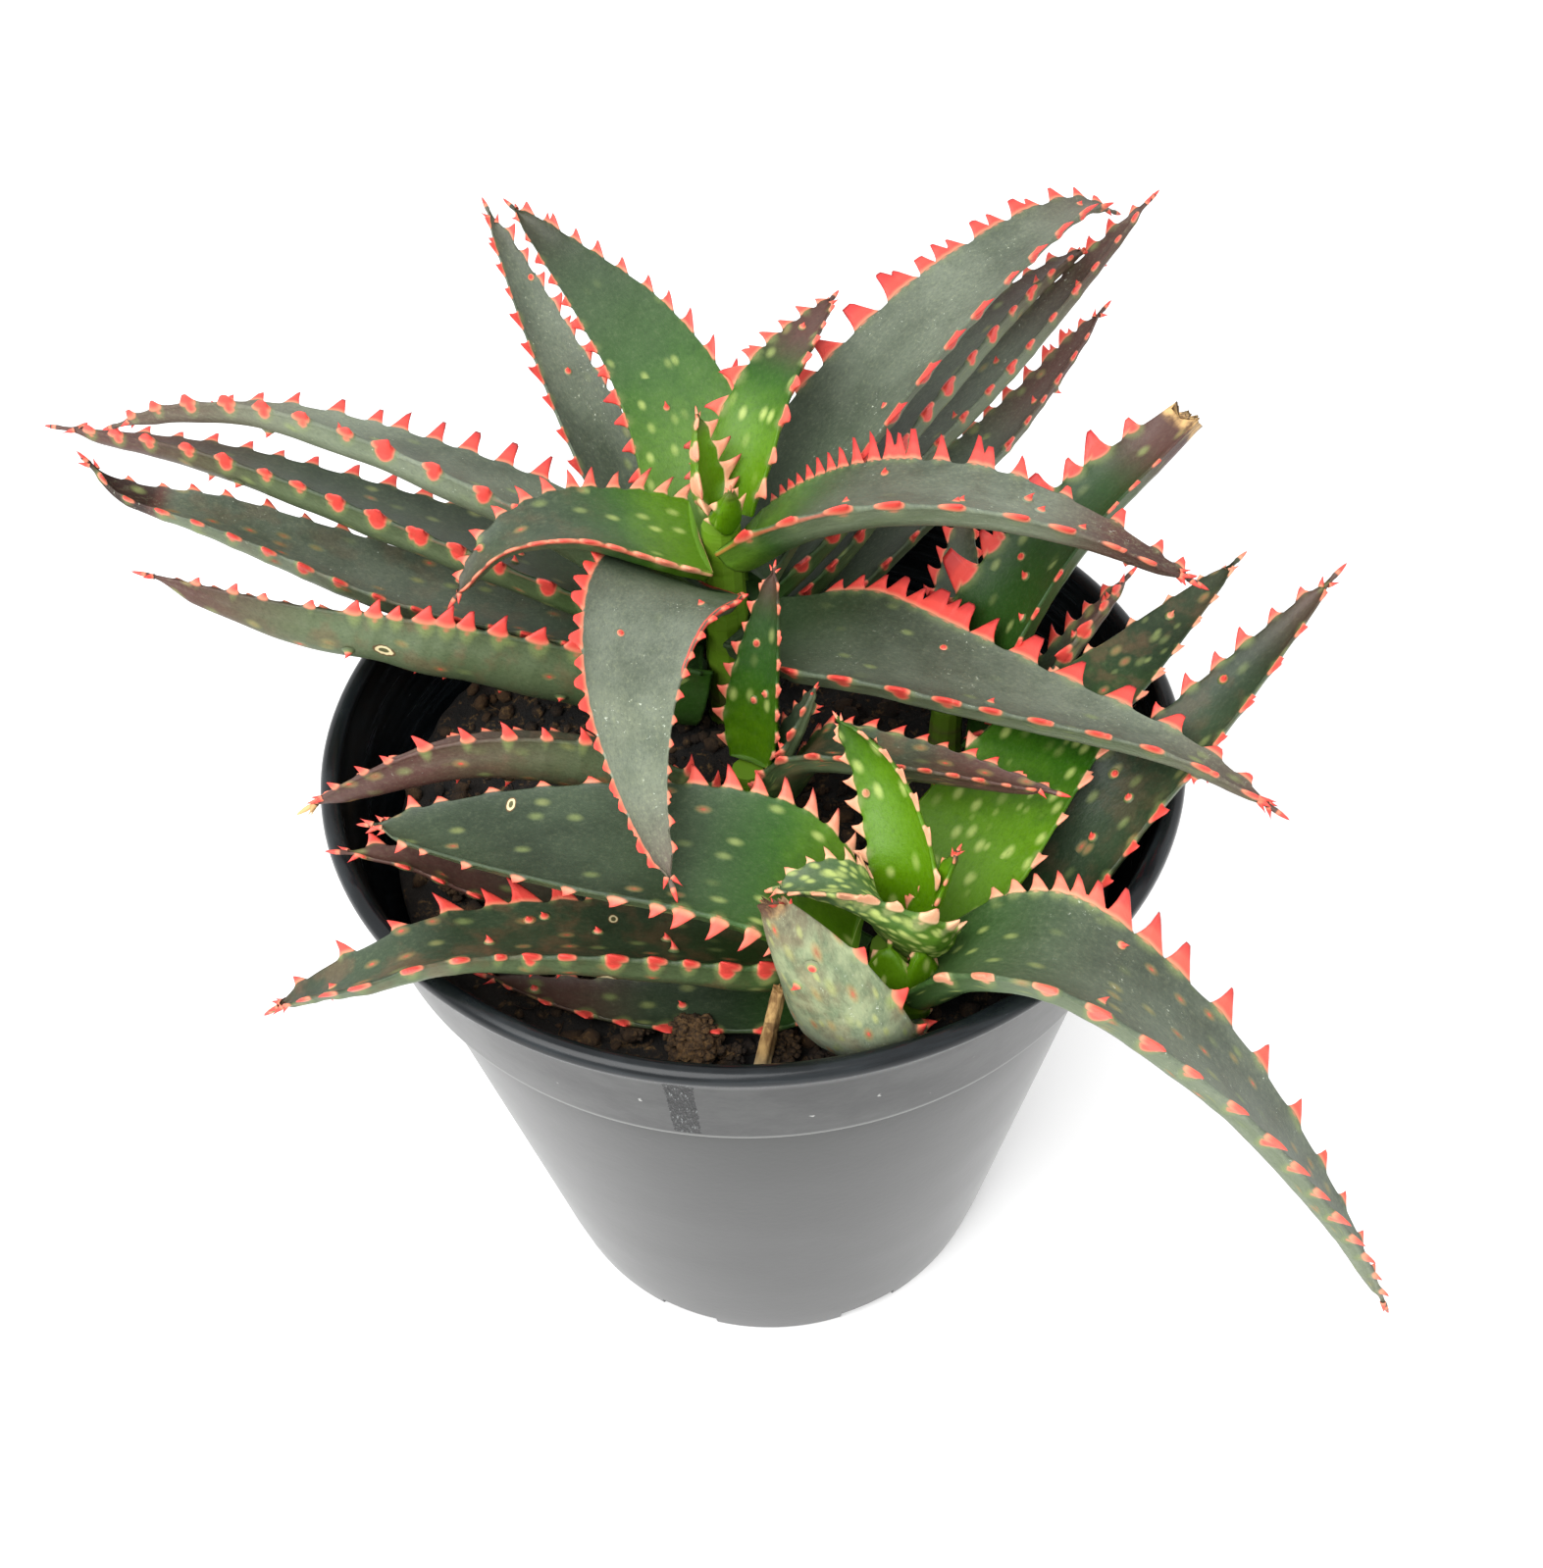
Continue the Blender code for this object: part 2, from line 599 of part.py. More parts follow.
def soil_corner(work, reach, side, height):
    """A corner on one of the soil's rings."""
    angle = math.tau * side / SOIL_SIDES
    return work.verts.new(Vector((reach * math.cos(angle), reach * math.sin(angle), height)) * MM)


def make_stem(name, rosette, group, material):
    """A short tapered stem with its foot in the soil."""
    foot = SOIL_LEVEL - STEM_DEPTH_IN_SOIL
    work = bmesh.new()
    made = bmesh.ops.create_cone(
        work, cap_ends=True, segments=STEM_SIDES, depth=(rosette.top - foot) * MM,
        radius1=rosette.radius * MM, radius2=STEM_TAPER * rosette.radius * MM)
    place = Vector((rosette.x, rosette.y, 0.5 * (rosette.top + foot))) * MM
    bmesh.ops.translate(work, vec=place, verts=made["verts"])
    mesh = bpy.data.meshes.new(name)
    work.to_mesh(mesh)
    work.free()
    mesh.shade_smooth()
    mesh.set_sharp_from_angle(angle=math.radians(40))
    return add_object(name, mesh, group, material)


def dent_leaves(leaves, cutters):
    """Cuts the room that a neighbour needs out of each leaf that it presses on."""
    by_name = {leaf.name: leaf for leaf in LEAVES}
    rooms = {}
    for leaf in LEAVES:
        for name in leaf.clears:
            if name not in rooms:
                room = leaf_mesh(by_name[name], LEAF_CLEARANCE)
                rooms[name] = add_object("room_for_" + name, room, cutters, None)
                mark_cutter(rooms[name])
            cut_with(leaves[leaf.name], rooms[name], "Dent from " + name)


def make_stalk(group, cutters, soil, material):
    """The dry stub of a flower stalk, leaning out of a hole in the soil."""
    stalk = add_object("dry_stalk", rod_mesh("dry_stalk", STALK_RADIUS, 0.0), group, material)
    hole = rod_mesh("stalk_hole", STALK_RADIUS + STEM_HOLE_CLEARANCE, STEM_HOLE_CLEARANCE)
    cutter = add_object("stalk_hole", hole, cutters, None)
    mark_cutter(cutter)
    cut_with(soil, cutter, "Stalk hole")
    return stalk


def rod_mesh(name, radius, beyond):
    """A straight tapered rod along the stalk, reaching a little beyond its foot."""
    top = Vector(STALK_TOP)
    foot = Vector(STALK_FOOT)
    axis = (top - foot).normalized()
    foot = foot - axis * beyond
    work = bmesh.new()
    made = bmesh.ops.create_cone(
        work, cap_ends=True, segments=STALK_SIDES, depth=(top - foot).length * MM,
        radius1=radius * MM, radius2=radius * STALK_TAPER * MM)
    turn_to_axis = axis.to_track_quat("Z", "Y").to_matrix()
    bmesh.ops.rotate(work, cent=(0, 0, 0), matrix=turn_to_axis, verts=made["verts"])
    bmesh.ops.translate(work, vec=(top + foot) * 0.5 * MM, verts=made["verts"])
    mesh = bpy.data.meshes.new(name)
    work.to_mesh(mesh)
    work.free()
    return mesh


def main():
    """Builds the whole plant in its pot."""
    clear_scene()
    group = new_collection("Potted aloe")
    cutters = new_collection("Cutters")
    leaf_green = new_material("leaf", LEAF_COLOUR, 0.45)
    young_green = new_material("young_leaf", YOUNG_COLOUR, 0.45)
    stem_green = new_material("stem", STEM_COLOUR, 0.6)
    black_plastic = new_material("pot_plastic", POT_COLOUR, 0.4)
    earth = new_material("soil", SOIL_COLOUR, 0.95)
    straw = new_material("straw", STRAW_COLOUR, 0.9)
    make_pot(group, cutters, black_plastic)
    ground = make_soil(group, cutters, earth)
    make_stalk(group, cutters, ground, straw)
    for name, rosette in ROSETTES.items():
        make_stem(name + "_stem", rosette, group, stem_green)
    leaves = {}
    for leaf in LEAVES:
        green = young_green if leaf.width < 12 else leaf_green
        leaves[leaf.name] = add_object(leaf.name, leaf_mesh(leaf), group, green)
    dent_leaves(leaves, cutters)


main()
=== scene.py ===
import math
import random
from dataclasses import dataclass

import bmesh
import bpy
import numpy as np
from mathutils import Matrix, Vector, noise


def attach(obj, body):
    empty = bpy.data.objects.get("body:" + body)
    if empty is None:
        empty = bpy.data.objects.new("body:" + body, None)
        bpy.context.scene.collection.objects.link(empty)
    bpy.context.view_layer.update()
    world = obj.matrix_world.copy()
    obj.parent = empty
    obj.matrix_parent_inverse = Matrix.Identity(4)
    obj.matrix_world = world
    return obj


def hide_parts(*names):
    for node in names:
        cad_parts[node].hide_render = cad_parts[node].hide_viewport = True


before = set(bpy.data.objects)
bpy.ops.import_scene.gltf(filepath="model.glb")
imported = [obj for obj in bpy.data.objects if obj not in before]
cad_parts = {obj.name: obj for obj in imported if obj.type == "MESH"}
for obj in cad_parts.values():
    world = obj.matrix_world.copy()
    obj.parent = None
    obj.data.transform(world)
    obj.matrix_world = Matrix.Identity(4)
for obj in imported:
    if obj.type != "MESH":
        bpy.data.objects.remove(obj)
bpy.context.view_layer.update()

MM = 0.001

# The rosettes: each stem's place in plan, in millimetres


@dataclass(eq=False)
class Rosette:
    """A stem that stands in the soil at a place in plan, with its leaves round it."""

    x: float
    y: float


ROSETTES = {
    "main": Rosette(-4.0, 22.0),
    "front": Rosette(21.0, -50.0),
    "middle": Rosette(-1.0, -10.0),
    "side": Rosette(36.0, 6.0),
}

# Teeth along the leaf margins, in millimetres
TOOTH_BASE = 5.2
TOOTH_HEIGHT = 4.3
TOOTH_HOOK = 1.9
PLACED_HOOK = 0.42
PLACED_BASE = 1.25
SMALLEST_TOOTH = 0.40
FIRST_TOOTH = 0.10
LAST_TOOTH = 0.965
LAST_TOOTH_BY_A_CUT = 0.90
TOOTH_RISE = 0.6
BACK_CURVE = 1.25
FRONT_CURVE = 0.75
ROOT_FLARE = 1.3
TOOTH_SWELL = 1.3
TOOTH_JITTER = 0.16
FULL_TOOTH = 2.4
HALO_REACH = 1.8
LINE_REACH = 0.4
SWELL_REACH = 1.1

# The blade of a leaf, in millimetres and as shares of its length, depth or width
SECTION_STEP = 0.45
MARGIN_THICKNESS = 1.1
TIP_THICKNESS = 0.7
TIP_HALF_WIDTH = 0.5
TIP_POINT = 0.6
BASE_CAP = 0.2
TORN_CAP = 1.2
TIP_RADIUS = 0.38
SWELL_END = 0.22
KEEL_FALL = 0.7
KEEL_SHARE = 0.92
UPPER_POINTS = (
    0.97, 0.91, 0.82, 0.69, 0.53, 0.36, 0.18, 0.0, -0.18, -0.36, -0.53, -0.69, -0.82, -0.91, -0.97,
)
UNDER_POINTS = (
    -0.94, -0.8, -0.6, -0.36, -0.12, 0.12, 0.36, 0.6, 0.8, 0.94,
)
NOSE_ANGLES = (75, 50, 25, 0, -25, -50, -75)
UNDER_SHIFT = 9.0
PLACE_STEP = 37.0
LEAF_SEED = 100

# Leaves narrower than these, in millimetres, have small spines
SMALL_LEAF = 11.0

# Spines round a leaf's tip and the one on it: rings of a radius, a height along the
# spine and how red they are
SPINE_SIDES = 8
SPINE_HEIGHT = 1.6
SPINE_RINGS = ((0.5, -0.4, 0.1), (0.36, 0.3, 0.5), (0.2, 0.8, 1.0), (0.1, 1.2, 1.3))
TIP_SPINE_HEIGHT = 3.2
TIP_SPINE_RINGS = ((0.3, -0.6, 0.0), (0.46, 0.4, 0.0), (0.42, 1.4, 0.3), (0.22, 2.6, 1.1))

# Prickles on the faces: rings of a radius, then the height and the lean as shares of
# the prickle's height, how red they are, and how they colour the skin
PRICKLE_SIDES = 9
PRICKLE_RINGS = (
    (1.2, -0.2, 0, 0, 0.1), (0.7, 0.12, 0, 0.03, 0.45), (0.42, 0.38, 0.1, 0.3, 0.65),
    (0.18, 0.72, 0.4, 0.8, 0.65),
)


@dataclass(eq=False)
class Edge:
    """How the teeth stand along one margin of a leaf.

    size and base scale a tooth's height and root, and apart scales the steps between
    teeth. hook bends the points towards the leaf's tip, or back to its base where it
    is negative, and lift turns the teeth up from the blade's plane, in degrees. blunt
    is the share of its height that a tooth's flat top loses, and double the share of
    teeth that carry a second point. placed are single teeth, each a share of the
    length, a root width and a height in millimetres, and may add a hook of its own;
    they stand in for the regular ones as far as they reach. knob is how much a
    tooth's root swells and colours the skin beside it. line is how strongly the
    margin is coloured, as far as line_end.
    """

    size: float = 1.0
    base: float = 1.0
    apart: float = 1.0
    hook: float = 1.0
    lift: float = 45
    blunt: float = 0.1
    double: float = 0.12
    placed: tuple = ()
    knob: float = 0.6
    line: float = 0.0
    line_end: float = 1.0


FAR = Edge()
NEAR = Edge(size=0.75, base=0.95, apart=1.1, hook=-0.6, double=0.05, blunt=0.25, knob=1.0)

# Teeth seen one by one on the leaves nearest to the viewer: share of the leaf's
# length, root width and height in millimetres
MAIN_01_TEETH = (
    (0.3, 5.0, 4.6), (0.36, 4.5, 4.4), (0.42, 4.8, 4.2), (0.475, 4.2, 4.2), (0.53, 4.5, 4.2),
    (0.57, 3.6, 3.0), (0.63, 4.2, 3.4), (0.7, 4.0, 3.0), (0.755, 3.6, 2.6), (0.8, 3.2, 2.0),
    (0.86, 2.6, 1.4), (0.91, 2.8, 1.7),
)
MAIN_04_TEETH = (
    (0.2, 5.0, 4.2), (0.26, 5.5, 4.8), (0.33, 5.5, 4.2), (0.4, 4.6, 4.8), (0.455, 4.0, 4.4),
    (0.49, 4.6, 4.6), (0.525, 5.0, 4.4), (0.575, 3.6, 3.0), (0.61, 4.0, 4.4), (0.645, 4.0, 3.4),
    (0.72, 3.0, 2.0), (0.8, 2.6, 1.4),
)
MAIN_08_TEETH = (
    (0.12, 3.6, 3.4), (0.17, 4.0, 4.0), (0.22, 4.4, 4.6), (0.3, 4.6, 5.2), (0.365, 4.6, 5.2),
    (0.44, 5.0, 5.4), (0.515, 5.4, 5.8), (0.537, 3.4, 4.8), (0.58, 3.4, 3.6), (0.615, 4.0, 4.2),
    (0.64, 3.4, 3.6), (0.695, 4.0, 4.2), (0.725, 3.2, 3.8), (0.775, 4.4, 4.2), (0.8, 2.8, 2.6),
    (0.85, 3.2, 3.2), (0.9, 2.8, 2.8), (0.945, 2.4, 2.0),
)
MAIN_12_TEETH = (
    (0.035, 2.0, 1.6), (0.06, 2.0, 2.0), (0.083, 2.2, 2.4), (0.105, 2.2, 2.7), (0.13, 2.4, 3.0),
    (0.155, 2.5, 3.3), (0.182, 2.6, 3.6), (0.21, 2.8, 3.9), (0.245, 3.2, 4.3), (0.285, 3.4, 4.8),
    (0.322, 3.8, 5.0), (0.345, 3.4, 4.4), (0.375, 3.6, 4.6), (0.435, 4.2, 4.6), (0.51, 4.6, 4.8),
    (0.535, 3.2, 3.6), (0.6, 4.4, 3.2), (0.7, 3.4, 1.9), (0.81, 3.4, 2.4), (0.9, 2.8, 1.9),
)
MAIN_13_TEETH = (
    (0.03, 2.8, 3.8, -1.3), (0.11, 2.8, 4.2, -1.3), (0.2, 2.8, 4.8, -1.2), (0.29, 2.8, 3.8, -0.4),
    (0.38, 2.8, 3.8, -0.1), (0.45, 2.6, 3.6, 0.4), (0.53, 2.6, 3.4, 0.6), (0.61, 2.6, 3.4, 0.6),
    (0.7, 2.4, 2.8, 0.6), (0.79, 2.2, 2.4, 0.6), (0.88, 2.2, 2.0, 0.6),
)
MAIN_15_TEETH = (
    (0.12, 3.2, 3.0), (0.155, 3.6, 3.4), (0.195, 4.0, 3.8), (0.235, 4.6, 4.2), (0.275, 4.2, 4.4),
    (0.315, 6.0, 5.0), (0.345, 5.0, 5.2), (0.37, 5.0, 4.8), (0.425, 4.6, 4.8), (0.51, 5.2, 4.6),
    (0.6, 5.4, 4.4), (0.695, 4.8, 3.6), (0.79, 4.2, 3.0), (0.87, 3.4, 1.9), (0.93, 2.8, 1.5),
)
FRONT_03_TEETH = (
    (0.1, 2.6, 2.4), (0.13, 2.8, 2.8), (0.16, 3.0, 3.2), (0.19, 3.2, 3.6), (0.215, 3.2, 3.8),
    (0.24, 3.6, 4.2), (0.275, 4.8, 5.2), (0.325, 5.0, 5.2), (0.375, 4.8, 4.8), (0.46, 4.8, 4.4),
    (0.55, 4.4, 3.8), (0.645, 4.2, 3.2), (0.73, 3.4, 2.2), (0.8, 3.0, 1.8), (0.87, 2.8, 1.6),
    (0.93, 2.4, 1.4),
)
FRONT_04_COMB = (
    (0.07, 2.4, 3.0), (0.105, 2.4, 3.4), (0.14, 2.4, 3.6), (0.18, 2.6, 3.8), (0.225, 3.0, 4.0),
    (0.285, 3.6, 4.2), (0.35, 4.4, 3.2), (0.395, 3.4, 2.4), (0.47, 4.6, 1.9), (0.56, 3.6, 1.4),
    (0.66, 3.8, 1.3), (0.765, 3.0, 1.3), (0.86, 2.6, 1.2),
)
FRONT_04_TEETH = (
    (0.08, 3.0, 3.2), (0.13, 3.2, 3.8), (0.18, 3.2, 4.0), (0.23, 3.4, 4.0), (0.28, 3.6, 3.8),
    (0.33, 4.0, 3.8), (0.395, 4.4, 3.6), (0.46, 4.0, 2.0), (0.52, 4.4, 1.7), (0.59, 4.4, 1.4),
    (0.68, 3.6, 1.1), (0.775, 4.0, 1.2), (0.87, 3.4, 1.2),
)
FRONT_05_TEETH = (
    (0.16, 3.6, 3.0), (0.25, 4.0, 3.6), (0.34, 4.4, 4.2), (0.42, 4.6, 4.6), (0.475, 5.0, 5.6),
    (0.53, 4.8, 4.8), (0.565, 3.4, 3.6), (0.625, 4.2, 4.0), (0.72, 3.4, 2.0), (0.835, 3.6, 3.0),
    (0.93, 2.8, 2.0),
)


@dataclass(eq=False)
class Leaf:
    """One leaf, given in the upright plane that its heading points along.

    heading and sweep are degrees round the rosette's axis: the leaf sets out at
    heading and has turned by sweep at its furthest reach. Each point of the profile
    is a reach from the axis and a height above the table, in millimetres, and may
    add a step to the left. width is from margin to margin, depth from the margins
    down to the keel, and hollow the share of the depth that the upper face sinks.
    roll lifts the left margin, in degrees, at the base and at the tip. taper is how
    late the blade narrows and base how wide it starts. pitch is the step between
    teeth in millimetres and tooth their size. cut is the share of a leaf's length
    that is left where its end is torn off. fresh is how bright a green the base has
    and reach how far along that carries. bloom is the grey wax together with the
    sheen of the light painted into it, purple the stain of the
    tip, stain where it starts and ramp the length that it takes to rise. pale
    whitens the teeth as far as pale_end, spots and prickles cover the faces, spines
    ring the tip, and dry is the withered length in millimetres.

    A leaf's place in LEAVES seeds its random draws, so a new leaf goes to the end.
    """

    name: str
    heading: float
    sweep: float
    profile: tuple
    width: float
    depth: float
    roll: tuple = (0, 0)
    taper: float = 2.0
    base: float = 0.72
    hollow: float = 0.22
    pitch: float = 7.0
    tooth: float = 1.0
    cut: float = 0.0
    left: Edge = None
    right: Edge = None
    fresh: float = 0.45
    reach: float = 0.35
    bloom_and_sheen: float = 0.5
    purple: float = 0.6
    stain: float = 0.72
    ramp: float = 0.3
    pale: float = 0.0
    pale_end: float = 0.45
    spots: float = 0.5
    prickles: int = 4
    spines: int = 2
    dry: float = 0.0

    def __post_init__(self):
        self.rosette = self.name.split("_")[0]
        points_left = 90 < self.heading % 360 < 270
        self.left = self.left or (NEAR if points_left else FAR)
        self.right = self.right or (FAR if points_left else NEAR)


LEAVES = [
    Leaf("main_leaf_01", 172, 0, ((5, 150), (18, 160), (41, 173), (74, 185), (92, 185), (108, 180)), 21, 7,
         roll=(12, 36), right=Edge(size=1.15, base=0.66, hook=-0.25, blunt=0.3, placed=MAIN_01_TEETH),
         left=Edge(size=0.85, apart=1.15, hook=-0.4, blunt=0.3, knob=1.0, line=0.6, line_end=0.35),
         bloom_and_sheen=1.4, purple=0.8, stain=0.6, spots=0.35),
    Leaf("main_leaf_02", 170, 0, ((5, 143), (23, 151), (51, 161), (92, 174), (122, 177)), 20, 8,
         roll=(8, 32), right=Edge(size=0.9, base=0.8, hook=-0.3, blunt=0.3),
         left=Edge(size=0.85, apart=1.15, hook=-0.4, blunt=0.3, knob=1.0, line=0.6, line_end=0.45),
         bloom_and_sheen=0.3, purple=1.0, stain=0.6, spots=0.6, prickles=6),
    Leaf("main_leaf_03", 176, 0, ((5, 135), (26, 143), (57, 152), (89, 167), (106, 173), (110, 179)), 18, 7,
         roll=(5, 5), taper=3.0, right=Edge(size=0.5), left=Edge(size=0.6, knob=1.0), bloom_and_sheen=1.0, purple=1.8,
         stain=0.85, ramp=0.05, spots=0.9),
    Leaf("main_leaf_04", 185, 0, ((5, 131), (25, 138), (51, 148), (77, 156), (100, 166)), 18, 12,
         roll=(38, 40), right=Edge(size=0.4),
         left=Edge(size=0.85, base=0.72, hook=-0.4, blunt=0.2, lift=72, placed=MAIN_04_TEETH), hollow=0.5,
         bloom_and_sheen=0.35, purple=1.0, stain=0.66, spots=1.1, prickles=11),
    Leaf("main_leaf_05", 124, -3, ((5, 137), (20, 144), (37, 155), (62, 172), (88, 190)), 16, 5, base=0.4,
         left=Edge(hook=0.4), bloom_and_sheen=0.9, purple=0.45, stain=0.8),
    Leaf("main_leaf_06", 95, 22, ((6, 147), (14, 155), (27, 166), (50, 174), (80, 182), (92, 187)), 23, 5.5,
         roll=(-5, -10), base=0.4, left=Edge(size=0.9, hook=-0.6), fresh=0.9, reach=0.95, bloom_and_sheen=0.25,
         purple=0.3, stain=0.75, spots=0.3, prickles=1),
    Leaf("main_leaf_07", 60, 0, ((3, 166.2), (9, 176), (20, 184), (44, 187)), 12, 4, pitch=6.0,
         left=Edge(hook=-0.8), fresh=1.1, reach=0.9, bloom_and_sheen=0.0, purple=1.0, stain=0.5, pale=0.6, spots=0.9,
         prickles=2),
    Leaf("main_leaf_08", 40, 0, ((5, 153), (14, 164), (27, 174), (57, 188), (91, 193), (104, 187)), 22, 6,
         roll=(-3, 0), base=0.6, left=Edge(size=0.88, hook=-0.35, blunt=0.35, placed=MAIN_08_TEETH),
         right=Edge(apart=1.25, blunt=0.3, knob=1.0), bloom_and_sheen=1.1, stain=0.7, spots=0.05, prickles=2,
         fresh=0.1),
    Leaf("main_leaf_09", 43, -2, ((5, 146), (40, 165), (70, 177), (88, 181), (100, 181)), 18, 7,
         roll=(-10, -25), base=0.5, bloom_and_sheen=0.8, purple=0.8, stain=0.6),
    Leaf("main_leaf_10", 47, -9, ((5, 138), (40, 155), (70, 166), (110, 190)), 17, 7, roll=(-10, -25),
         base=0.5, bloom_and_sheen=0.9, purple=0.9, stain=0.6),
    Leaf("main_leaf_11", 36, 4, ((5, 133), (40, 145), (72, 153), (105, 167)), 16, 6, roll=(-5, -10),
         base=0.5, bloom_and_sheen=0.6, purple=1.0, stain=0.55),
    Leaf("main_leaf_12", -20, 0, ((3.6, 164), (12, 171), (26, 178), (45, 181), (63, 178), (82, 170)), 24, 7,
         roll=(-12, -15), base=0.75,
         left=Edge(size=1.2, base=0.68, hook=-0.1, blunt=0.3, lift=62, placed=MAIN_12_TEETH),
         right=Edge(size=0.5, apart=1.3, base=1.7, hook=2.0, knob=0.9, line=0.72, line_end=0.3), fresh=0.9,
         reach=0.3, bloom_and_sheen=1.25, purple=1.3, stain=0.62, ramp=0.28, spots=0.15, prickles=8, spines=8),
    Leaf("main_leaf_13", 196, 4, ((4, 163), (15, 169), (27, 174), (39, 173), (48, 164)), 20, 5,
         roll=(-8, 0), base=0.9, taper=1.4, pitch=6.0,
         right=Edge(base=0.85, blunt=0.15, knob=0.45, placed=MAIN_13_TEETH),
         left=Edge(size=0.42, base=1.7, apart=0.8, knob=0.7, line=0.85), fresh=0.95, reach=0.6, bloom_and_sheen=0.35,
         purple=0.5, stain=0.75, spots=0.9, pale=0.6, prickles=1),
    Leaf("main_leaf_14", -126, 30, ((5, 155), (15, 164), (28, 168), (45, 166), (62, 160.5), (75, 154.5)),
         30, 5, roll=(0, 5), base=0.45, taper=1.05, left=Edge(size=0.5, apart=0.75, line=1.0, line_end=0.5),
         right=Edge(size=0.75, apart=0.6, base=1.1, blunt=0.3, line=1.0, line_end=0.32), fresh=0.15,
         bloom_and_sheen=1.55, purple=0.8, stain=0.75, spots=0.1, prickles=2),
    Leaf("main_leaf_15", -35, 0, ((5, 145), (25, 151), (45, 153), (61, 154), (89, 155), (105, 150)), 31,
         6.5, roll=(0, -25), base=0.5, taper=1.4, pitch=8.5,
         left=Edge(hook=0.6, lift=50, blunt=0.25, placed=MAIN_15_TEETH),
         right=Edge(size=0.7, base=1.5, apart=1.1, hook=0.8, blunt=0.3, knob=1.0), fresh=0.2, reach=0.3,
         bloom_and_sheen=1.3, purple=0.9, spots=0.35, prickles=8, spines=7),
    Leaf("main_leaf_16", 150, -30, ((1.5, 168.3), (3, 176), (6, 184)), 7, 2.5, base=0.4, pitch=4.5,
         fresh=1.3, reach=2.5, bloom_and_sheen=0.0, pale=0.8, pale_end=2.0, prickles=0),
    Leaf("main_leaf_17", 290, 0, ((2, 166.5), (4, 171), (6, 176)), 5, 2.5, base=0.5, pitch=4.5, tooth=0.6,
         fresh=1.4, reach=3.0, bloom_and_sheen=0.0, pale=1.0, pale_end=2.0, prickles=0),
    Leaf("main_leaf_18", 85, 0, ((5, 129), (20, 133), (35, 139), (55, 146), (72, 151)), 15, 4.5, base=0.45),
    Leaf("main_leaf_19", 142, 0, ((6, 125), (20, 128), (35, 135), (52, 144), (68, 149)), 14, 3.5, base=0.4),
    Leaf("front_leaf_01", 54, -9, ((5, 130), (18, 138), (50, 148), (69, 150), (95, 157)), 24, 5.5, base=0.5,
         taper=1.5, right=Edge(size=0.6, apart=1.1, blunt=0.3, knob=0.8), left=Edge(size=0.5, apart=1.4),
         fresh=1.15, reach=0.8, bloom_and_sheen=0.0, purple=0.2, spots=1.35, pale=0.6, pale_end=2.0, prickles=2),
    Leaf("front_leaf_02", 31, 0, ((5, 126.5), (24, 129), (46, 144), (60, 151.5), (87, 171)), 23, 6,
         base=0.6, taper=1.3, right=Edge(size=0.8, apart=1.2, blunt=0.3, knob=1.0), bloom_and_sheen=0.1, purple=1.0,
         stain=0.75, spots=0.9, prickles=8),
    Leaf("front_leaf_03", -25, 0, ((5, 134), (14, 145), (26, 149), (51, 135), (77, 103), (89, 81)), 22, 7,
         roll=(-8, -30), left=Edge(hook=-0.5, blunt=0.15, lift=55, placed=FRONT_03_TEETH),
         right=Edge(size=0.65, apart=1.2, blunt=0.35, knob=1.0), fresh=0.5, reach=0.3, bloom_and_sheen=1.2,
         purple=0.5, stain=0.8, spots=0.8, pale=0.85, pale_end=0.3),
    Leaf("front_leaf_04", 167, 0, ((5, 139), (14, 149), (26, 153), (58, 152), (85, 148)), 25, 6.5, base=0.8,
         taper=3.0, left=Edge(size=0.9, base=0.72, lift=-15, hook=0.8, placed=FRONT_04_COMB),
         right=Edge(base=0.75, hook=0.7, placed=FRONT_04_TEETH), fresh=0.95, reach=0.45, bloom_and_sheen=0.22,
         purple=0.2, stain=0.85, pale=0.8, pale_end=0.32, spots=0.75, prickles=2, spines=7),
    Leaf("front_leaf_05", 172, 13,
         ((5, 134), (32, 138), (47, 141), (60, 143),
          (71, 147, 3), (79, 146, 4), (88, 141, 1), (97, 134, -2)),
         21, 7.5, roll=(29, 19), base=0.45,
         right=Edge(base=0.8, hook=1.2, blunt=0.0, placed=FRONT_05_TEETH),
         left=Edge(size=0.65, apart=0.95, blunt=0.35, knob=0.9), bloom_and_sheen=0.2, purple=0.7, stain=0.85,
         spots=1.0, prickles=12, spines=7),
    Leaf("front_leaf_06", 150, 19,
         ((6, 128, -2), (20, 128, -4), (40, 129), (59, 131), (70, 135), (80, 141), (90, 144)), 15, 3.5,
         base=0.45, bloom_and_sheen=0.3, purple=1.0, stain=0.5, spots=0.9),
    Leaf("front_leaf_07", 190, -14, ((8, 125), (33, 125), (48, 125), (66, 126)), 12, 3, base=0.45,
         bloom_and_sheen=0.3, purple=0.9, stain=0.5, spots=0.8),
    Leaf("front_leaf_08", 60, 50, ((4, 139), (6, 148), (16, 158), (22, 166)), 10.5, 3.5, base=0.8,
         taper=2.5, pitch=4.6, left=Edge(size=0.6), right=Edge(size=0.55), fresh=1.2, reach=1.8, bloom_and_sheen=0.0,
         purple=0.1, pale=0.8, pale_end=2.0, spots=1.2),
    Leaf("front_leaf_09", 180, 0, ((-5, 139, -1), (-1, 147, 1), (6, 153, 1), (13, 154, 1), (18, 151, 0)),
         14, 6, roll=(65, -10), base=0.8, pitch=4.0, left=Edge(size=0.75, base=0.7),
         right=Edge(size=0.75, base=0.7), fresh=0.8, reach=1.6, bloom_and_sheen=0.6, purple=0.0, pale=1.0,
         pale_end=2.0, spots=2.9, prickles=0),
    Leaf("front_leaf_10", -115, 0, ((5, 126, -1), (12, 133, -1), (15, 147, -5), (15, 158, -13)), 20, 8,
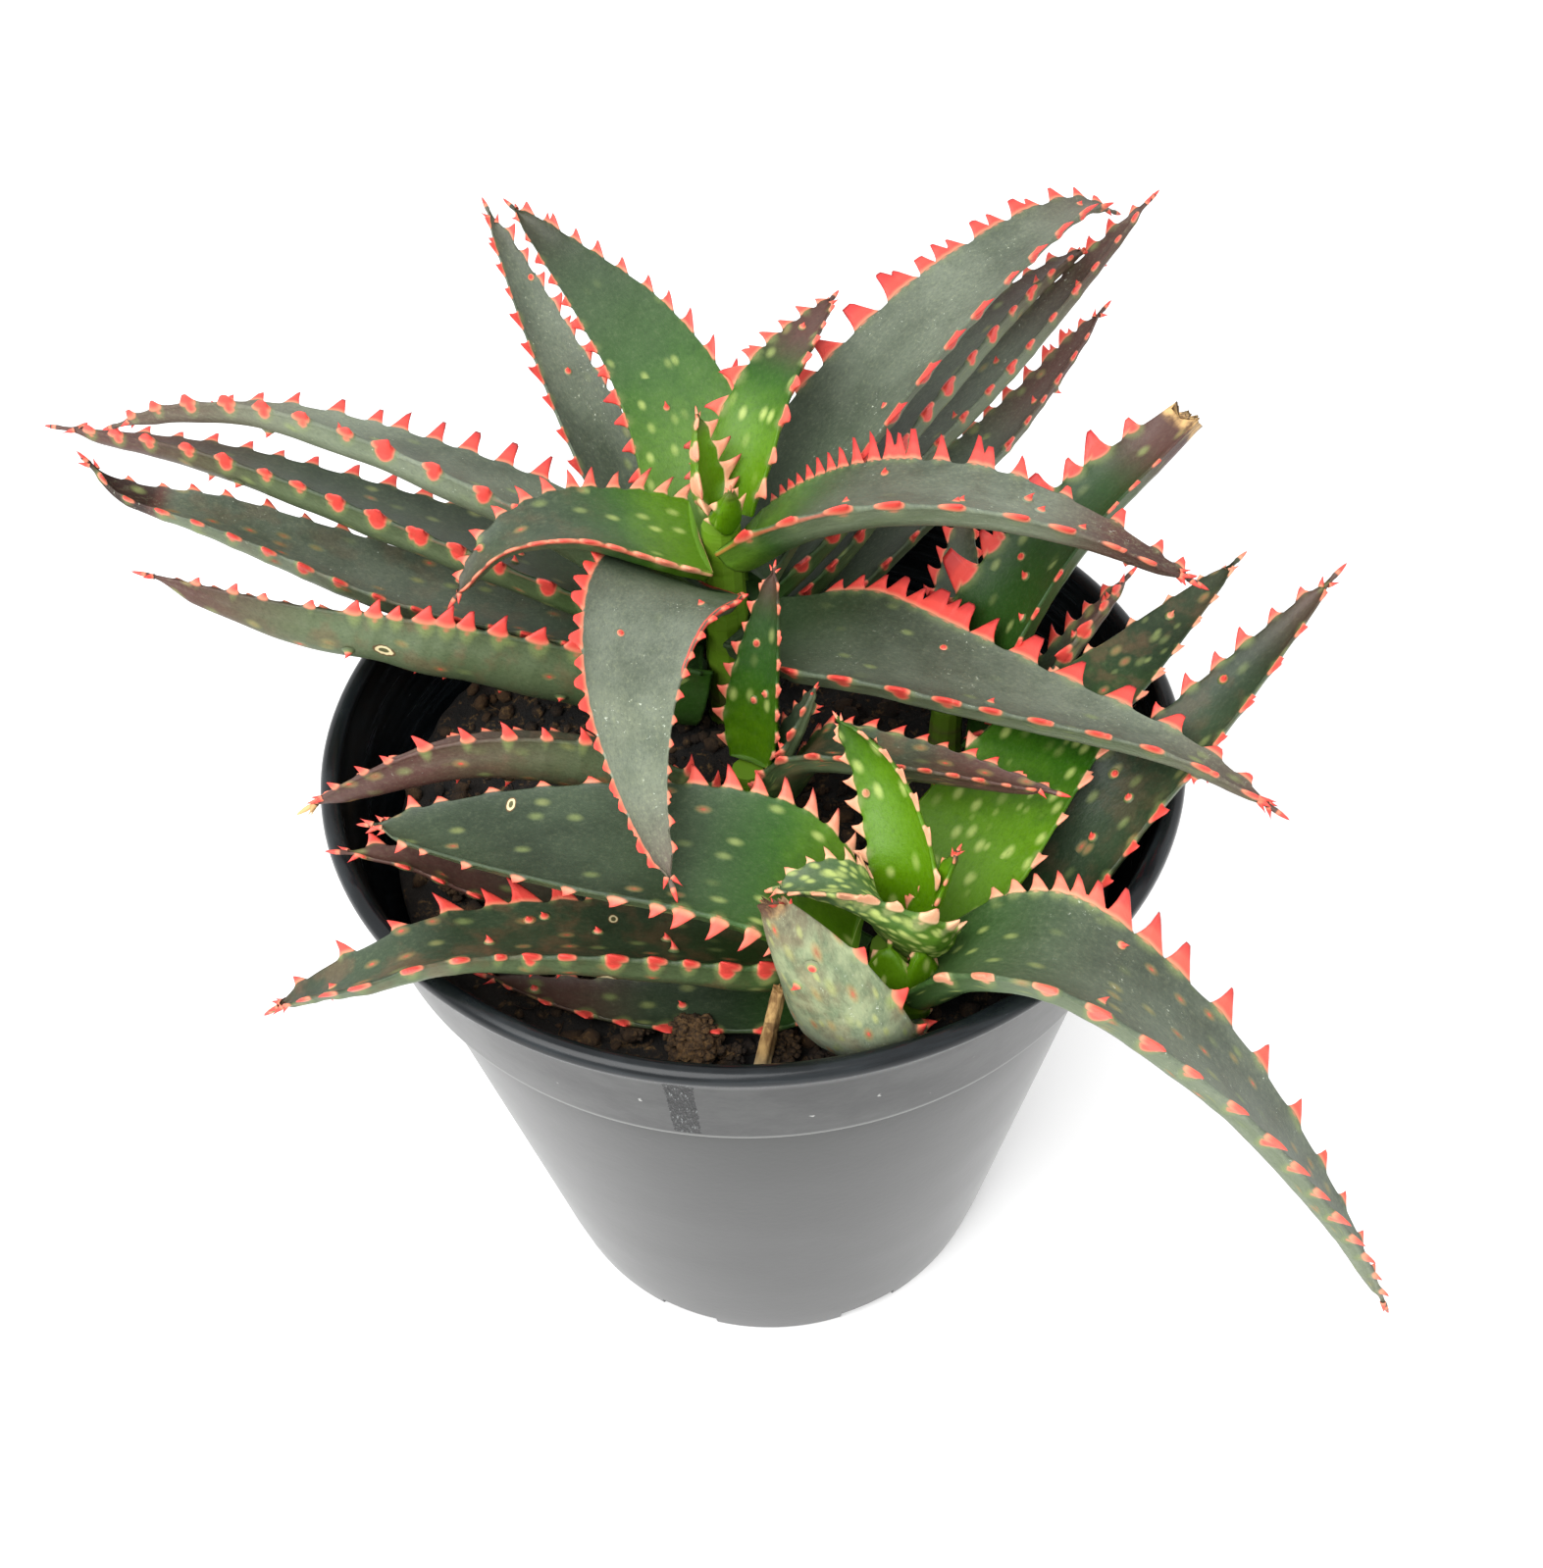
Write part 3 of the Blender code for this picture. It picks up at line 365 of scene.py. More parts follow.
         taper=3.0, base=0.75, cut=0.93, left=Edge(size=0.6, apart=1.3), right=Edge(size=0.6, apart=1.3),
         fresh=0.0, bloom_and_sheen=2.6, purple=0.5, stain=0.82, ramp=0.1, spots=1.6, prickles=10, spines=8, dry=1.5),
    Leaf("middle_leaf_01", 60, 0, ((1, 137), (3, 150), (8, 163), (12, 172)), 10, 3.5, pitch=5.0,
         left=Edge(size=0.5), right=Edge(size=0.42), fresh=0.8, reach=1.1, bloom_and_sheen=0.0, purple=1.0, spots=0.7,
         pale=0.3, pale_end=1.0),
    Leaf("middle_leaf_02", 190, 1, ((3.6, 130), (25, 148), (48, 154), (64, 150), (74, 145)), 15, 10,
         roll=(35, 40), left=Edge(size=0.85, base=0.62, apart=0.9, hook=0.9, lift=76, knob=0.5),
         right=Edge(size=0.4), hollow=0.5, bloom_and_sheen=0.4, purple=1.15, stain=0.3, ramp=0.55, spots=1.2,
         prickles=10, spines=7, dry=3),
    Leaf("middle_leaf_03", -29, 5, ((4, 133), (12, 147), (30, 151), (54, 150)), 14, 5.5, roll=(-15, -15),
         pitch=5.0, left=Edge(size=0.6), right=Edge(size=0.4), bloom_and_sheen=0.4, purple=1.0, stain=0.5, spots=1.0,
         pale=0.2),
    Leaf("middle_leaf_04", -8, 0, ((4, 138), (9, 149), (12, 156)), 8, 3, pitch=4.5, left=Edge(size=0.5),
         right=Edge(size=0.5), bloom_and_sheen=0.3, purple=0.2, pale=0.4),
    Leaf("side_leaf_01", 27, 0, ((2, 135), (5, 147), (12, 158), (22, 168), (45, 181)), 20, 8, taper=1.1,
         cut=0.75, left=Edge(size=1.35, base=1.1, hook=0.7, blunt=0.35, knob=0.9), right=Edge(size=0.5),
         bloom_and_sheen=0.0, fresh=0.3, reach=1.4, purple=1.1, ramp=0.22, spots=0.6, spines=0, dry=3.2),
    Leaf("side_leaf_02", -25, 40, ((4, 128), (14, 140), (23, 151), (33, 156)), 12, 4, pitch=5.0, bloom_and_sheen=0.4,
         purple=0.9, stain=0.5, spots=0.6),
    Leaf("side_leaf_03", 80, 0, ((5, 128), (18, 134), (34, 141), (46, 146)), 12, 4, base=0.5, pitch=5.0),
    Leaf("front_bud", 20, 0, ((1.5, 133), (4.5, 141), (7.6, 148.5), (10.1, 154)), 5, 2.4, base=0.6,
         pitch=3.6, tooth=0.35, fresh=1.3, reach=2.0, bloom_and_sheen=0.0, purple=0.8, stain=0.88, ramp=0.1, pale=0.5,
         pale_end=1.2, spots=0.4, prickles=0, spines=6),
    Leaf("front_scale_01", -58, 0, ((4.2, 124), (6.0, 130), (6.9, 136), (6.2, 142)), 12, 2.0, base=0.9,
         taper=1.6, pitch=4.0, tooth=0.4, fresh=1.3, reach=3.0, bloom_and_sheen=0.0, purple=0.0, pale=1.0,
         pale_end=3.0, spots=1.5, prickles=0, spines=0),
    Leaf("front_scale_02", -102, 0, ((4.2, 124), (6.2, 130), (6.4, 136), (4.6, 142)), 13, 2.0, base=0.9,
         taper=2.2, pitch=4.0, tooth=0.4, fresh=1.3, reach=3.0, bloom_and_sheen=0.0, purple=0.0, pale=1.0,
         pale_end=3.0, spots=1.5, prickles=0, spines=0),
]

# Pot, in millimetres: a six inch round nursery pot
POT_HEIGHT = 140.0
RIM_RADIUS = 76.0
BAND_FOOT = 116.0
BAND_FOOT_RADIUS = 71.3
BODY_TOP_RADIUS = 69.3
BASE_RADIUS = 52.0
POT_WALL = 1.5
POT_FLOOR = 2.0
FOOT_BEVEL = 1.5
LIP_RADIUS = 1.7
LEDGE_ROUND = 0.6
GLOSS_FROM = 135.3
POT_SIDES = 192
SHARP_ANGLE = 40
NOTCH_COUNT = 8
NOTCH_WIDTH = 13.0
NOTCH_HEIGHT = 3.5
NOTCH_DEPTH = 7.0

# The rough moulding scar on the pot's band, in radians round the pot
SCAR_ANGLE = -1.741
SCAR_HALF_ANGLE = 0.036

# Soil, in millimetres. At the shoulder the pot's wall starts to widen
SHOULDER = 113.0
SOIL_LEVEL = 120.0
SOIL_LUMP = 1.0
FIT_GAP = 0.3
SOIL_SIDES = 200
SOIL_RINGS = 90
CRUMBS = 1500
CRUMB_SMALLEST = 0.35
CRUMB_LARGEST = 2.4
CRUMB_REACH = 65.0
CRUMB_SEED = 11
FIBRES = 170
FIBRE_REACH = 62.0
FIBRE_RADIUS = 0.13
FIBRE_SIDES = 3
FIBRE_STEPS = 6

# Clods and bark that lie on the soil: place, radius and height of the middle
CLODS = (
    (-11.0, -58.2, 4.9, 123.4), (2.5, -59.5, 3.6, 122.5), (-20.0, -53.0, 3.4, 122.0),
    (-31.0, -46.0, 3.0, 121.5), (-5.0, -60.0, 2.6, 121.5), (9.0, -62.0, 2.4, 121.0),
    (-48.0, 12.0, 4.0, 122.0), (-52.0, -22.0, 3.6, 121.5), (-38.0, -34.0, 3.0, 121.0),
    (52.0, 22.0, 4.5, 122.5), (60.0, 2.0, 3.4, 121.5), (-44.0, 34.0, 3.8, 121.5),
)

# A tuft of dry roots by the pot's wall
TUFT_PLACE = (64.0, 6.0, 121.0)
TUFT_LEAN = 0.12
TUFT_FIBRES = 34

# Dry flower stalk, in millimetres
STALK_TOP = (3.0, -59.0, 138.0)
STALK_FOOT = (-1.5, -64.0, 117.0)
STALK_RADIUS = 1.4
STALK_TAPER = 0.75
STALK_SIDES = 28
STALK_LEVELS = 26

# Old ring-shaped scars: the leaf, the distance from its base and from its midrib round
# the skin, and half the length and half the width of the ring, in millimetres
RING_SCARS = (
    ("main_leaf_04", 59.8, 14.4, 1.9, 1.0),
    ("front_leaf_04", 62.5, -5.5, 0.8, 1.25),
    ("front_leaf_05", 38.6, -5.6, 0.8, 1.0),
    ("front_leaf_05", 40.0, 16.0, 1.6, 1.9),
)

# Colours as the eye's red, green and blue, 0 to 255: the leaves
DEEP_GREEN = (24, 41, 21)
MID_GREEN = (41, 62, 34)
LIVELY_GREEN = (38, 82, 6)
FRESH_GREEN = (84, 128, 0)
# The wax's grey, which also paints the sheen that the soft light leaves on the wax
WAX_AND_SHEEN_GREY = (154, 160, 145)
PALE_SKIN = (142, 152, 116)
PALE_SKIN_DARK = (108, 122, 92)
PALE_SKIN_SPOT = (158, 164, 104)
UNDER_GREEN = (94, 110, 72)
PALE_SPOT = (132, 146, 88)
BRIGHT_SPOT = (190, 206, 116)
SORE_BROWN = (150, 76, 58)
SCAR_CREAM = (222, 206, 160)
RUDDY_BROWN = (116, 82, 60)
GRAIN_SHADE = (196, 196, 196)
GRAIN_LIGHT = (146, 152, 118)
PURPLE_BROWN = (84, 57, 50)
WITHERED = (50, 34, 28)
CORAL = (230, 76, 66)
CORAL_LIGHT = (232, 138, 106)
PEACH = (238, 198, 154)
TOOTH_END_RED = (176, 44, 46)
STRAW = (206, 168, 112)
DRY_BROWN = (84, 58, 42)
STIPPLE_GREEN = (20, 30, 22)
WAX_FLECK = (196, 204, 186)
RING_OUTLINE = (92, 70, 44)
RING_MIDDLE = (84, 84, 52)

# The pot
POT_BLACK = (28, 29, 28)
POT_DUSTY = (39, 40, 38)
# The band's black: the same plastic as the body, painted darker as shade for the darker reflections it
# shows
BAND_SHADED_BLACK = (9, 10, 10)
BAND_SMEAR = (44, 45, 44)
# Grey of a highlight painted along the band's lower edge, where the ledge catches the light
LEDGE_HIGHLIGHT_GREY = (122, 124, 120)
SCAR_BLACK = (10, 11, 12)
SCAR_GREY = (126, 130, 130)
SPECK_GREY = (190, 190, 185)
GLOSS_BLACK = (12, 16, 19)
SCUFF_GREY = (32, 37, 40)

# The soil, the stems and the dry stalk
SOIL_DARK = (10, 9, 8)
SOIL_LIGHT = (30, 23, 16)
PEAT_DARK = (24, 17, 11)
PEAT_LIGHT = (78, 55, 30)
GRAIN_BROWN = (138, 106, 62)
DRIED_PEAT = (134, 100, 56)
STEM_GREEN = (92, 124, 26)
STEM_BROWN = (96, 96, 48)
STEM_BRIGHT = (100, 142, 12)
STRAW_DARK = (112, 80, 42)
STRAW_LIGHT = (206, 168, 108)
STRAW_PALE = (232, 214, 170)
KNOT_BROWN = (82, 54, 30)


# Curves and frames of a leaf


def smooth_route(points, per_span=12):
    """Points along a centripetal Catmull-Rom curve through the given ones."""
    knots = np.array(points, float)
    before = 2 * knots[0] - knots[1]
    after = 2 * knots[-1] - knots[-2]
    knots = np.vstack([before, knots, after])
    route = []
    for first in range(len(knots) - 3):
        p0, p1, p2, p3 = knots[first:first + 4]
        t1 = np.linalg.norm(p1 - p0) ** 0.5
        t2 = t1 + np.linalg.norm(p2 - p1) ** 0.5
        t3 = t2 + np.linalg.norm(p3 - p2) ** 0.5
        for step in range(per_span):
            t = t1 + (t2 - t1) * step / per_span
            a1 = p0 + (p1 - p0) * t / t1
            a2 = p1 + (p2 - p1) * (t - t1) / (t2 - t1)
            a3 = p2 + (p3 - p2) * (t - t2) / (t3 - t2)
            b1 = a1 + (a2 - a1) * t / t2
            b2 = a2 + (a3 - a2) * (t - t1) / (t3 - t1)
            route.append(b1 + (b2 - b1) * (t - t1) / (t2 - t1))
    route.append(knots[-2])
    return np.array(route)


def leaf_route(leaf):
    """The leaf's midrib as points in millimetres."""
    rosette = ROSETTES[leaf.rosette]
    furthest = max(point[0] for point in leaf.profile)
    points = []
    for reach, height, *step in leaf.profile:
        aside = step[0] if step else 0.0
        angle = math.radians(leaf.heading + leaf.sweep * reach / furthest)
        x = rosette.x + reach * math.cos(angle) - aside * math.sin(angle)
        y = rosette.y + reach * math.sin(angle) + aside * math.cos(angle)
        points.append((x, y, height))
    return smooth_route(points)


def blade_frames(route, heading):
    """Distance, tangent, leftward and upward directions at each point of a route."""
    steps = np.linalg.norm(np.diff(route, axis=0), axis=1)
    distance = np.concatenate([[0.0], np.cumsum(steps)])
    tangent = np.gradient(route, distance, axis=0)
    tangent /= np.linalg.norm(tangent, axis=1)[:, None]
    angle = math.radians(heading)
    left = np.array([-math.sin(angle), math.cos(angle), 0.0])
    lefts = []
    for direction in tangent:
        left = left - direction * (left @ direction)
        left /= np.linalg.norm(left)
        lefts.append(left)
    lefts = np.array(lefts)
    return distance, tangent, lefts, np.cross(tangent, lefts)


def ease(value):
    """0 to 1 with a soft start and end."""
    value = np.clip(value, 0.0, 1.0)
    return value * value * (3 - 2 * value)


class Blade:
    """Reads a leaf's place and size at shares of its length, 0 at the base."""

    def __init__(self, leaf):
        self.leaf = leaf
        self.route = leaf_route(leaf)
        frames = blade_frames(self.route, leaf.heading)
        self.distance, self.tangent, self.left, self.up = frames
        self.length = self.distance[-1]

    def read(self, shares):
        """Points, tangents, lefts and ups at shares of the length, rolled."""
        at = np.atleast_1d(shares) * self.length
        rows = []
        for track in (self.route, self.tangent, self.left, self.up):
            rows.append(np.stack([np.interp(at, self.distance, track[:, k]) for k in range(3)], axis=1))
        point, tangent, left, up = rows
        first, last = self.leaf.roll
        roll = np.radians(first + (last - first) * np.atleast_1d(shares))
        cosine = np.cos(roll)[:, None]
        sine = np.sin(roll)[:, None]
        return point, tangent, left * cosine + up * sine, up * cosine - left * sine

    def read_one(self, share):
        """The point, tangent, left and up at one share of the length."""
        return [row[0] for row in self.read(share)]

    def half_width(self, shares):
        """Half the width: a clasping base, then a long taper to the tip."""
        shares = np.clip(shares, 0.0, 1.0)
        swell = self.leaf.base + (1 - self.leaf.base) * ease(shares / SWELL_END)
        kept = self.leaf.cut or 1.0
        return 0.5 * self.leaf.width * swell * (1 - (kept * shares) ** self.leaf.taper)

    def depth(self, shares):
        """Depth from the margins to the keel."""
        shares = np.clip(shares, 0.0, 1.0)
        kept = self.leaf.cut or 1.0
        fall = (1 - (kept * shares) ** max(self.leaf.taper, 2.0)) ** KEEL_FALL
        return np.maximum(self.leaf.depth * fall, 1.5 * TIP_THICKNESS)


# Teeth


@dataclass(eq=False)
class Tooth:
    """One tooth: its peak's place along the midrib, height, base and hook in millimetres."""

    at: float
    height: float
    base: float
    hook: float
    blunt: float

    def rise(self, at):
        """The tooth's outline at distances along the midrib: 1 at its top, 0 past its root."""
        offset = (at - self.at) * (1 if self.hook >= 0 else -1)
        back = 1 - np.clip(-offset / (TOOTH_RISE * self.base), 0, 1) ** BACK_CURVE
        front = 1 - np.clip(offset / ((1 - TOOTH_RISE) * self.base), 0, 1) ** FRONT_CURVE
        shape = np.where(offset < 0, back, front) ** ROOT_FLARE
        return np.minimum(shape / (1 - self.blunt), 1.0)


def tooth_row(blade, edge, draw):
    """The teeth of one margin: the placed ones, and beyond them a regular row with jitter."""
    leaf = blade.leaf
    last = (LAST_TOOTH_BY_A_CUT if leaf.cut else LAST_TOOTH) * blade.length
    pitch = leaf.pitch * edge.apart
    row = []
    for share, base, height, *lean in edge.placed:
        height *= edge.size * draw.uniform(0.9, 1.08)
        hook = PLACED_HOOK * height * (lean[0] if lean else edge.hook)
        base *= PLACED_BASE * edge.base
        row.append(Tooth(share * blade.length, height, base, hook, edge.blunt * draw.uniform(0.2, 1.6)))
    at = FIRST_TOOTH * blade.length
    if edge.placed:
        at = max(at, (edge.placed[-1][0] + 0.05) * blade.length)
    while at < last:
        share = at / blade.length
        fullness = float(blade.half_width(share)) * 2 / leaf.width
        size = leaf.tooth * edge.size * (SMALLEST_TOOTH + (1 - SMALLEST_TOOTH) * fullness)
        size *= draw.uniform(0.68, 1.2)
        height = TOOTH_HEIGHT * size
        base = TOOTH_BASE * edge.base * (0.35 + 0.65 * size)
        hook = TOOTH_HOOK * size * edge.hook
        blunt = edge.blunt * draw.uniform(0.3, 1.5)
        row.append(Tooth(at, height, base, hook, blunt))
        if draw.random() < edge.double:
            beside = at + base * draw.uniform(0.28, 0.42)
            row.append(Tooth(beside, height * draw.uniform(0.6, 0.9), base * 0.5, 0.6 * hook, blunt))
        step = pitch * (0.72 + 0.28 * fullness)
        at += step * draw.uniform(1 - TOOTH_JITTER, 1 + TOOTH_JITTER)
    return row


def tooth_heights(row, edge, blade, at):
    """Height of the margin's teeth, how far they hook, their roots and the margin's line."""
    height = np.zeros_like(at)
    hook = np.zeros_like(at)
    root = np.zeros_like(at)
    for tooth in row:
        shape = tooth.rise(at)
        higher = tooth.height * shape > height
        height = np.where(higher, tooth.height * shape, height)
        hook = np.where(higher, tooth.hook * shape ** 1.5, hook)
        spread = np.exp(-((at - tooth.at) / (0.5 * tooth.base)) ** 2)
        root = np.maximum(root, edge.knob * spread * min(tooth.height / 3.0, 1.0))
    line = edge.line * (1 - ease((at / blade.length - edge.line_end) / 0.08))
    return height, hook, root, line


# Rings of vertices


def ring_faces(sides, rings):
    """Faces of four corners between rings whose vertices follow one another."""
    faces = []
    for start in range(0, (rings - 1) * sides, sides):
        for side in range(sides):
            after = (side + 1) % sides
            faces.append((start + side, start + after, start + sides + after, start + sides + side))
    return faces


def circle(sides):
    """Cosines and sines of equal steps round a circle."""
    turns = [math.tau * side / sides for side in range(sides)]
    return [(math.cos(turn), math.sin(turn)) for turn in turns]


def level_ring(work, radius, height, sides):
    """A level ring of vertices round the pot's axis, or one repeated vertex on the axis."""
    if radius == 0:
        return [work.verts.new((0, 0, height * MM))] * sides
    return [work.verts.new(Vector((radius * x, radius * y, height)) * MM) for x, y in circle(sides)]


def join_rings(work, rings):
    """Adds the faces between rings of vertices, or of one vertex that is repeated."""
    for near, far in zip(rings, rings[1:]):
        for side in range(len(near)):
            after = (side + 1) % len(near)
            corners = list(dict.fromkeys((near[side], near[after], far[after], far[side])))
            if len(corners) > 2:
                work.faces.new(corners)


def close_mesh(work, name):
    """The mesh that was built in a bmesh."""
    mesh = bpy.data.meshes.new(name)
    work.to_mesh(mesh)
    work.free()
    return mesh


# The fine leaf mesh


def leaf_sections(blade, rows):
    """Distances along the midrib for the sections, with one on every tooth's peak."""
    count = max(24, int(blade.length / SECTION_STEP))
    at = np.linspace(0.0, blade.length, count + 1)
    for row in rows:
        for tooth in row:
            nearest = int(np.argmin(np.abs(at - tooth.at)))
            if 0 < nearest < count:
                at[nearest] = tooth.at
    return np.sort(at)


def wander(at, seed, period):
    """A slow seeded wave along a leaf, from -1 to 1."""
    return np.array([noise.noise(Vector((value / period, seed, 0.3))) for value in at])


def face_heights(across, upper, edge, hollow, keel):
    """How high a face lies at a share of the half width, above the margins' plane."""
    if upper:
        return edge - (edge + hollow) * (1 - np.abs(across) ** 2.2)
    return -edge - (keel - edge) * (1 - np.abs(across) ** 2.4) ** 0.52


def leaf_shape(blade, at, seed):
    """Half width, edge thickness, hollow and keel of a leaf at distances along it."""
    leaf = blade.leaf
    share = at / blade.length
    half = blade.half_width(share) + TIP_HALF_WIDTH
    half = np.maximum(half if leaf.cut else half * ease((1 - share) * 14), TIP_RADIUS)
    half = half * (1 + 0.03 * wander(at, seed, 14))
    depth = blade.depth(share) * (1 + 0.08 * wander(at, seed + 60, 11))
    edge = 0.5 * (MARGIN_THICKNESS + (TIP_THICKNESS - MARGIN_THICKNESS) * share)
    edge = np.minimum(edge, 0.9 * half)
    hollow = leaf.hollow * depth * ease((1 - share) * 8)
    keel = KEEL_SHARE * depth
    if not leaf.cut:
        keel = keel * ease((1 - share) * 10 + 0.1)
    return half, edge, hollow, np.maximum(keel, edge * 1.02)


def skin_columns(leaf, shape, profiles):
    """The lines of points round a leaf: its upper face, a margin, its underside, a margin."""
    half, edge = shape[:2]
    columns = [face_column(across, True, shape, profiles) for across in UPPER_POINTS]
    columns += [nose_column(leaf.right, -1, angle, half, edge, profiles[1]) for angle in NOSE_ANGLES]
    columns += [face_column(across, False, shape, profiles) for across in UNDER_POINTS]
    columns += [nose_column(leaf.left, 1, angle, half, edge, profiles[0]) for angle in NOSE_ANGLES[::-1]]
    measure_skin(columns)
    return columns


def fine_leaf(leaf):
    """Vertices, faces and point fields of one leaf with its teeth and prickles."""
    seed = LEAVES.index(leaf)
    draw = random.Random(LEAF_SEED + seed)
    blade = Blade(leaf)
    edges = (leaf.left, leaf.right)
    rows = [tooth_row(blade, edge, draw) for edge in edges]
    at = leaf_sections(blade, rows)
    share = at / blade.length
    profiles = [tooth_heights(row, edge, blade, at) for row, edge in zip(rows, edges)]
    columns = skin_columns(leaf, leaf_shape(blade, at, seed), profiles)
    point, tangent, left, up = blade.read(share)
    vertices = []
    for column in columns:
        place = point + left * column.spread[:, None] + up * column.raised[:, None]
        vertices.append(place + tangent * column.forward[:, None])
    sides = len(columns)
    rings = len(at)
    fields = {"share": np.repeat(share, sides), "at": np.repeat(at, sides)}
    for name in ("tooth", "root", "aside", "upper", "line"):
        values = [getattr(column, name) * np.ones(rings) for column in columns]
        fields[name] = np.stack(values, axis=1).reshape(-1)
    build = Parts(np.stack(vertices, axis=1).reshape(-1, 3), ring_faces(sides, rings), fields)
    build.cap(range(sides), point[0] - tangent[0] * BASE_CAP)
    last = range((rings - 1) * sides, rings * sides)
    if leaf.cut:
        tear_end(build, last, tangent[-1], draw)
        build.cap(last[::-1], point[-1] - tangent[-1] * TORN_CAP)
    else:
        build.cap(last[::-1], point[-1] + tangent[-1] * TIP_POINT)
    add_prickles(build, blade, draw)
    add_spines(build, blade, draw)
    return build, blade, seed


@dataclass(eq=False)
class Column:
    """One line of points along a leaf: where it runs, and what its points carry.

    spread and raised place it across the leaf, forward shifts it along. tooth is how
    far up a tooth it lies, root how near the root of one, upper is 1 on the upper
    face and 0 below, and line is the margin's own colour. aside is the distance
    round the skin from the middle of the face.
    """

    spread: np.ndarray
    raised: np.ndarray
    forward: np.ndarray
    tooth: float
    root: float
    upper: float
    line: float
    aside: float = 0.0


def face_column(across, upper, shape, profiles):
    """A line along a face, swollen a little beside each tooth."""
    half, edge, hollow, keel = shape
    height, hook, root, line = profiles[0] if across >= 0 else profiles[1]
    near = np.exp(-half * (1 - abs(across)) / SWELL_REACH)
    raised = face_heights(across, upper, edge, hollow, keel)
    raised = raised + (0.75 if upper else -0.45) * root * near
    spread = across * (half - 0.45 * edge) + math.copysign(0.08, across) * height * near
    return Column(spread, raised, 0.1 * hook * near, 0.0, root, float(upper), line)


def nose_column(side_edge, side, angle, half, edge, profile):
    """A line along a margin, drawn out into the teeth."""
    height, hook, root, line = profile
    turn = math.radians(angle)
    lift = math.radians(side_edge.lift)
    weight = max(math.cos(turn - 0.6 * lift), 0.0) ** 1.8
    sharpness = np.clip(height / 3.0, 0, 1)
    thick = edge * (1 + TOOTH_SWELL * root) * (1 - 0.8 * sharpness * weight)
    spread = half - edge + edge * math.cos(turn) + height * weight * math.cos(lift)
    raised = thick * math.sin(turn) + height * weight * math.sin(lift)
    tooth = height * weight / FULL_TOOTH
    line = line * max(math.cos(turn), 0.0) ** 0.7
    return Column(side * spread, raised, hook * weight, tooth, root, 0.5 + 0.5 * math.sin(turn), line)


def measure_skin(columns):
    """Finds each column's distance round the skin, and fades what belongs to the margins."""
    spread = np.array([column.spread for column in columns])
    raised = np.array([column.raised for column in columns])
    steps = np.hypot(np.diff(spread, axis=0), np.diff(raised, axis=0))
    around = np.vstack([np.zeros(spread.shape[1]), np.cumsum(steps, axis=0)])
    tops = len(UPPER_POINTS)
    noses = len(NOSE_ANGLES)
    unders = len(UNDER_POINTS)
    middle = around[UPPER_POINTS.index(0.0)]
    below = 0.5 * (around[tops + noses] + around[tops + noses + unders - 1])
    for index, column in enumerate(columns):
        on_top = index < tops + noses
        column.aside = middle - around[index] if on_top else around[index] - below + UNDER_SHIFT
        inland = 0.0
        if index < tops:
            inland = np.minimum(around[index] - around[0], around[tops] - around[index])
        elif tops + noses <= index < tops + noses + unders:
            inland = np.minimum(around[index] - around[tops + noses - 1],
                                around[tops + noses + unders] - around[index])
        column.root = column.root * np.exp(-inland / HALO_REACH)
        column.line = column.line * np.exp(-inland / LINE_REACH)


class Parts:
    """Collects a piece's vertices, faces and point fields."""

    def __init__(self, vertices, faces, fields):
        self.vertices = [np.asarray(vertices, float)]
        self.faces = list(faces)
        self.count = len(vertices)
        self.fields = {name: [values] for name, values in fields.items()}

    def add(self, vertices, faces, fields):
        """Appends vertices with their own faces and field values."""
        start = self.count
        self.vertices.append(np.asarray(vertices, float))
        self.faces += [tuple(start + index for index in face) for face in faces]
        self.count += len(vertices)
        for name, values in self.fields.items():
            values.append(np.asarray(fields[name], float) * np.ones(len(vertices)))

    def cap(self, ring, middle):
        """Closes a ring of vertices on a middle point."""
        ring = list(ring)
        sample = ring[0]
        first_fields = {name: values[0][sample] for name, values in self.fields.items()}
        start = self.count
        self.vertices.append(np.array([middle]))
        self.count += 1
        for name, values in self.fields.items():
            values.append(np.array([first_fields[name]]))
        for index, corner in enumerate(ring):
            self.faces.append((start, ring[(index + 1) % len(ring)], corner))


def tear_end(build, ring, tangent, draw):
    """Makes a cut leaf's last ring of vertices ragged along its length."""
    for index in ring:
        build.vertices[0][index] += tangent * draw.uniform(-0.7, 1.1)


def add_spines(build, blade, draw):
    """Small red spines round the leaf's tip, and one on it that isn't cut."""
    leaf = blade.leaf
    small = 0.6 if leaf.width < SMALL_LEAF else 1.0
    for index in range(leaf.spines):
        share = draw.uniform(0.955, 0.99)
        point, tangent, left, up = blade.read_one(share)
        half = float(blade.half_width(share)) + TIP_HALF_WIDTH
        angle = math.tau * (index + draw.uniform(-0.3, 0.3)) / leaf.spines
        outward = left * math.cos(angle) + up * math.sin(angle)
        root = point + left * math.cos(angle) * 0.7 * half + up * math.sin(angle) * 0.4
        axis = tangent * draw.uniform(1.0, 1.8) + outward
        axis /= np.linalg.norm(axis)
        height = SPINE_HEIGHT * small * draw.uniform(0.8, 1.2)
        raise_spine(build, blade, share, (root, axis, height), SPINE_RINGS, small, 0.2)
    if not leaf.cut:
        share = 0.985
        point, tangent, left, up = blade.read_one(share)
        stance = (point, tangent, TIP_SPINE_HEIGHT * small)
        raise_spine(build, blade, share, stance, TIP_SPINE_RINGS, small, 0.0)


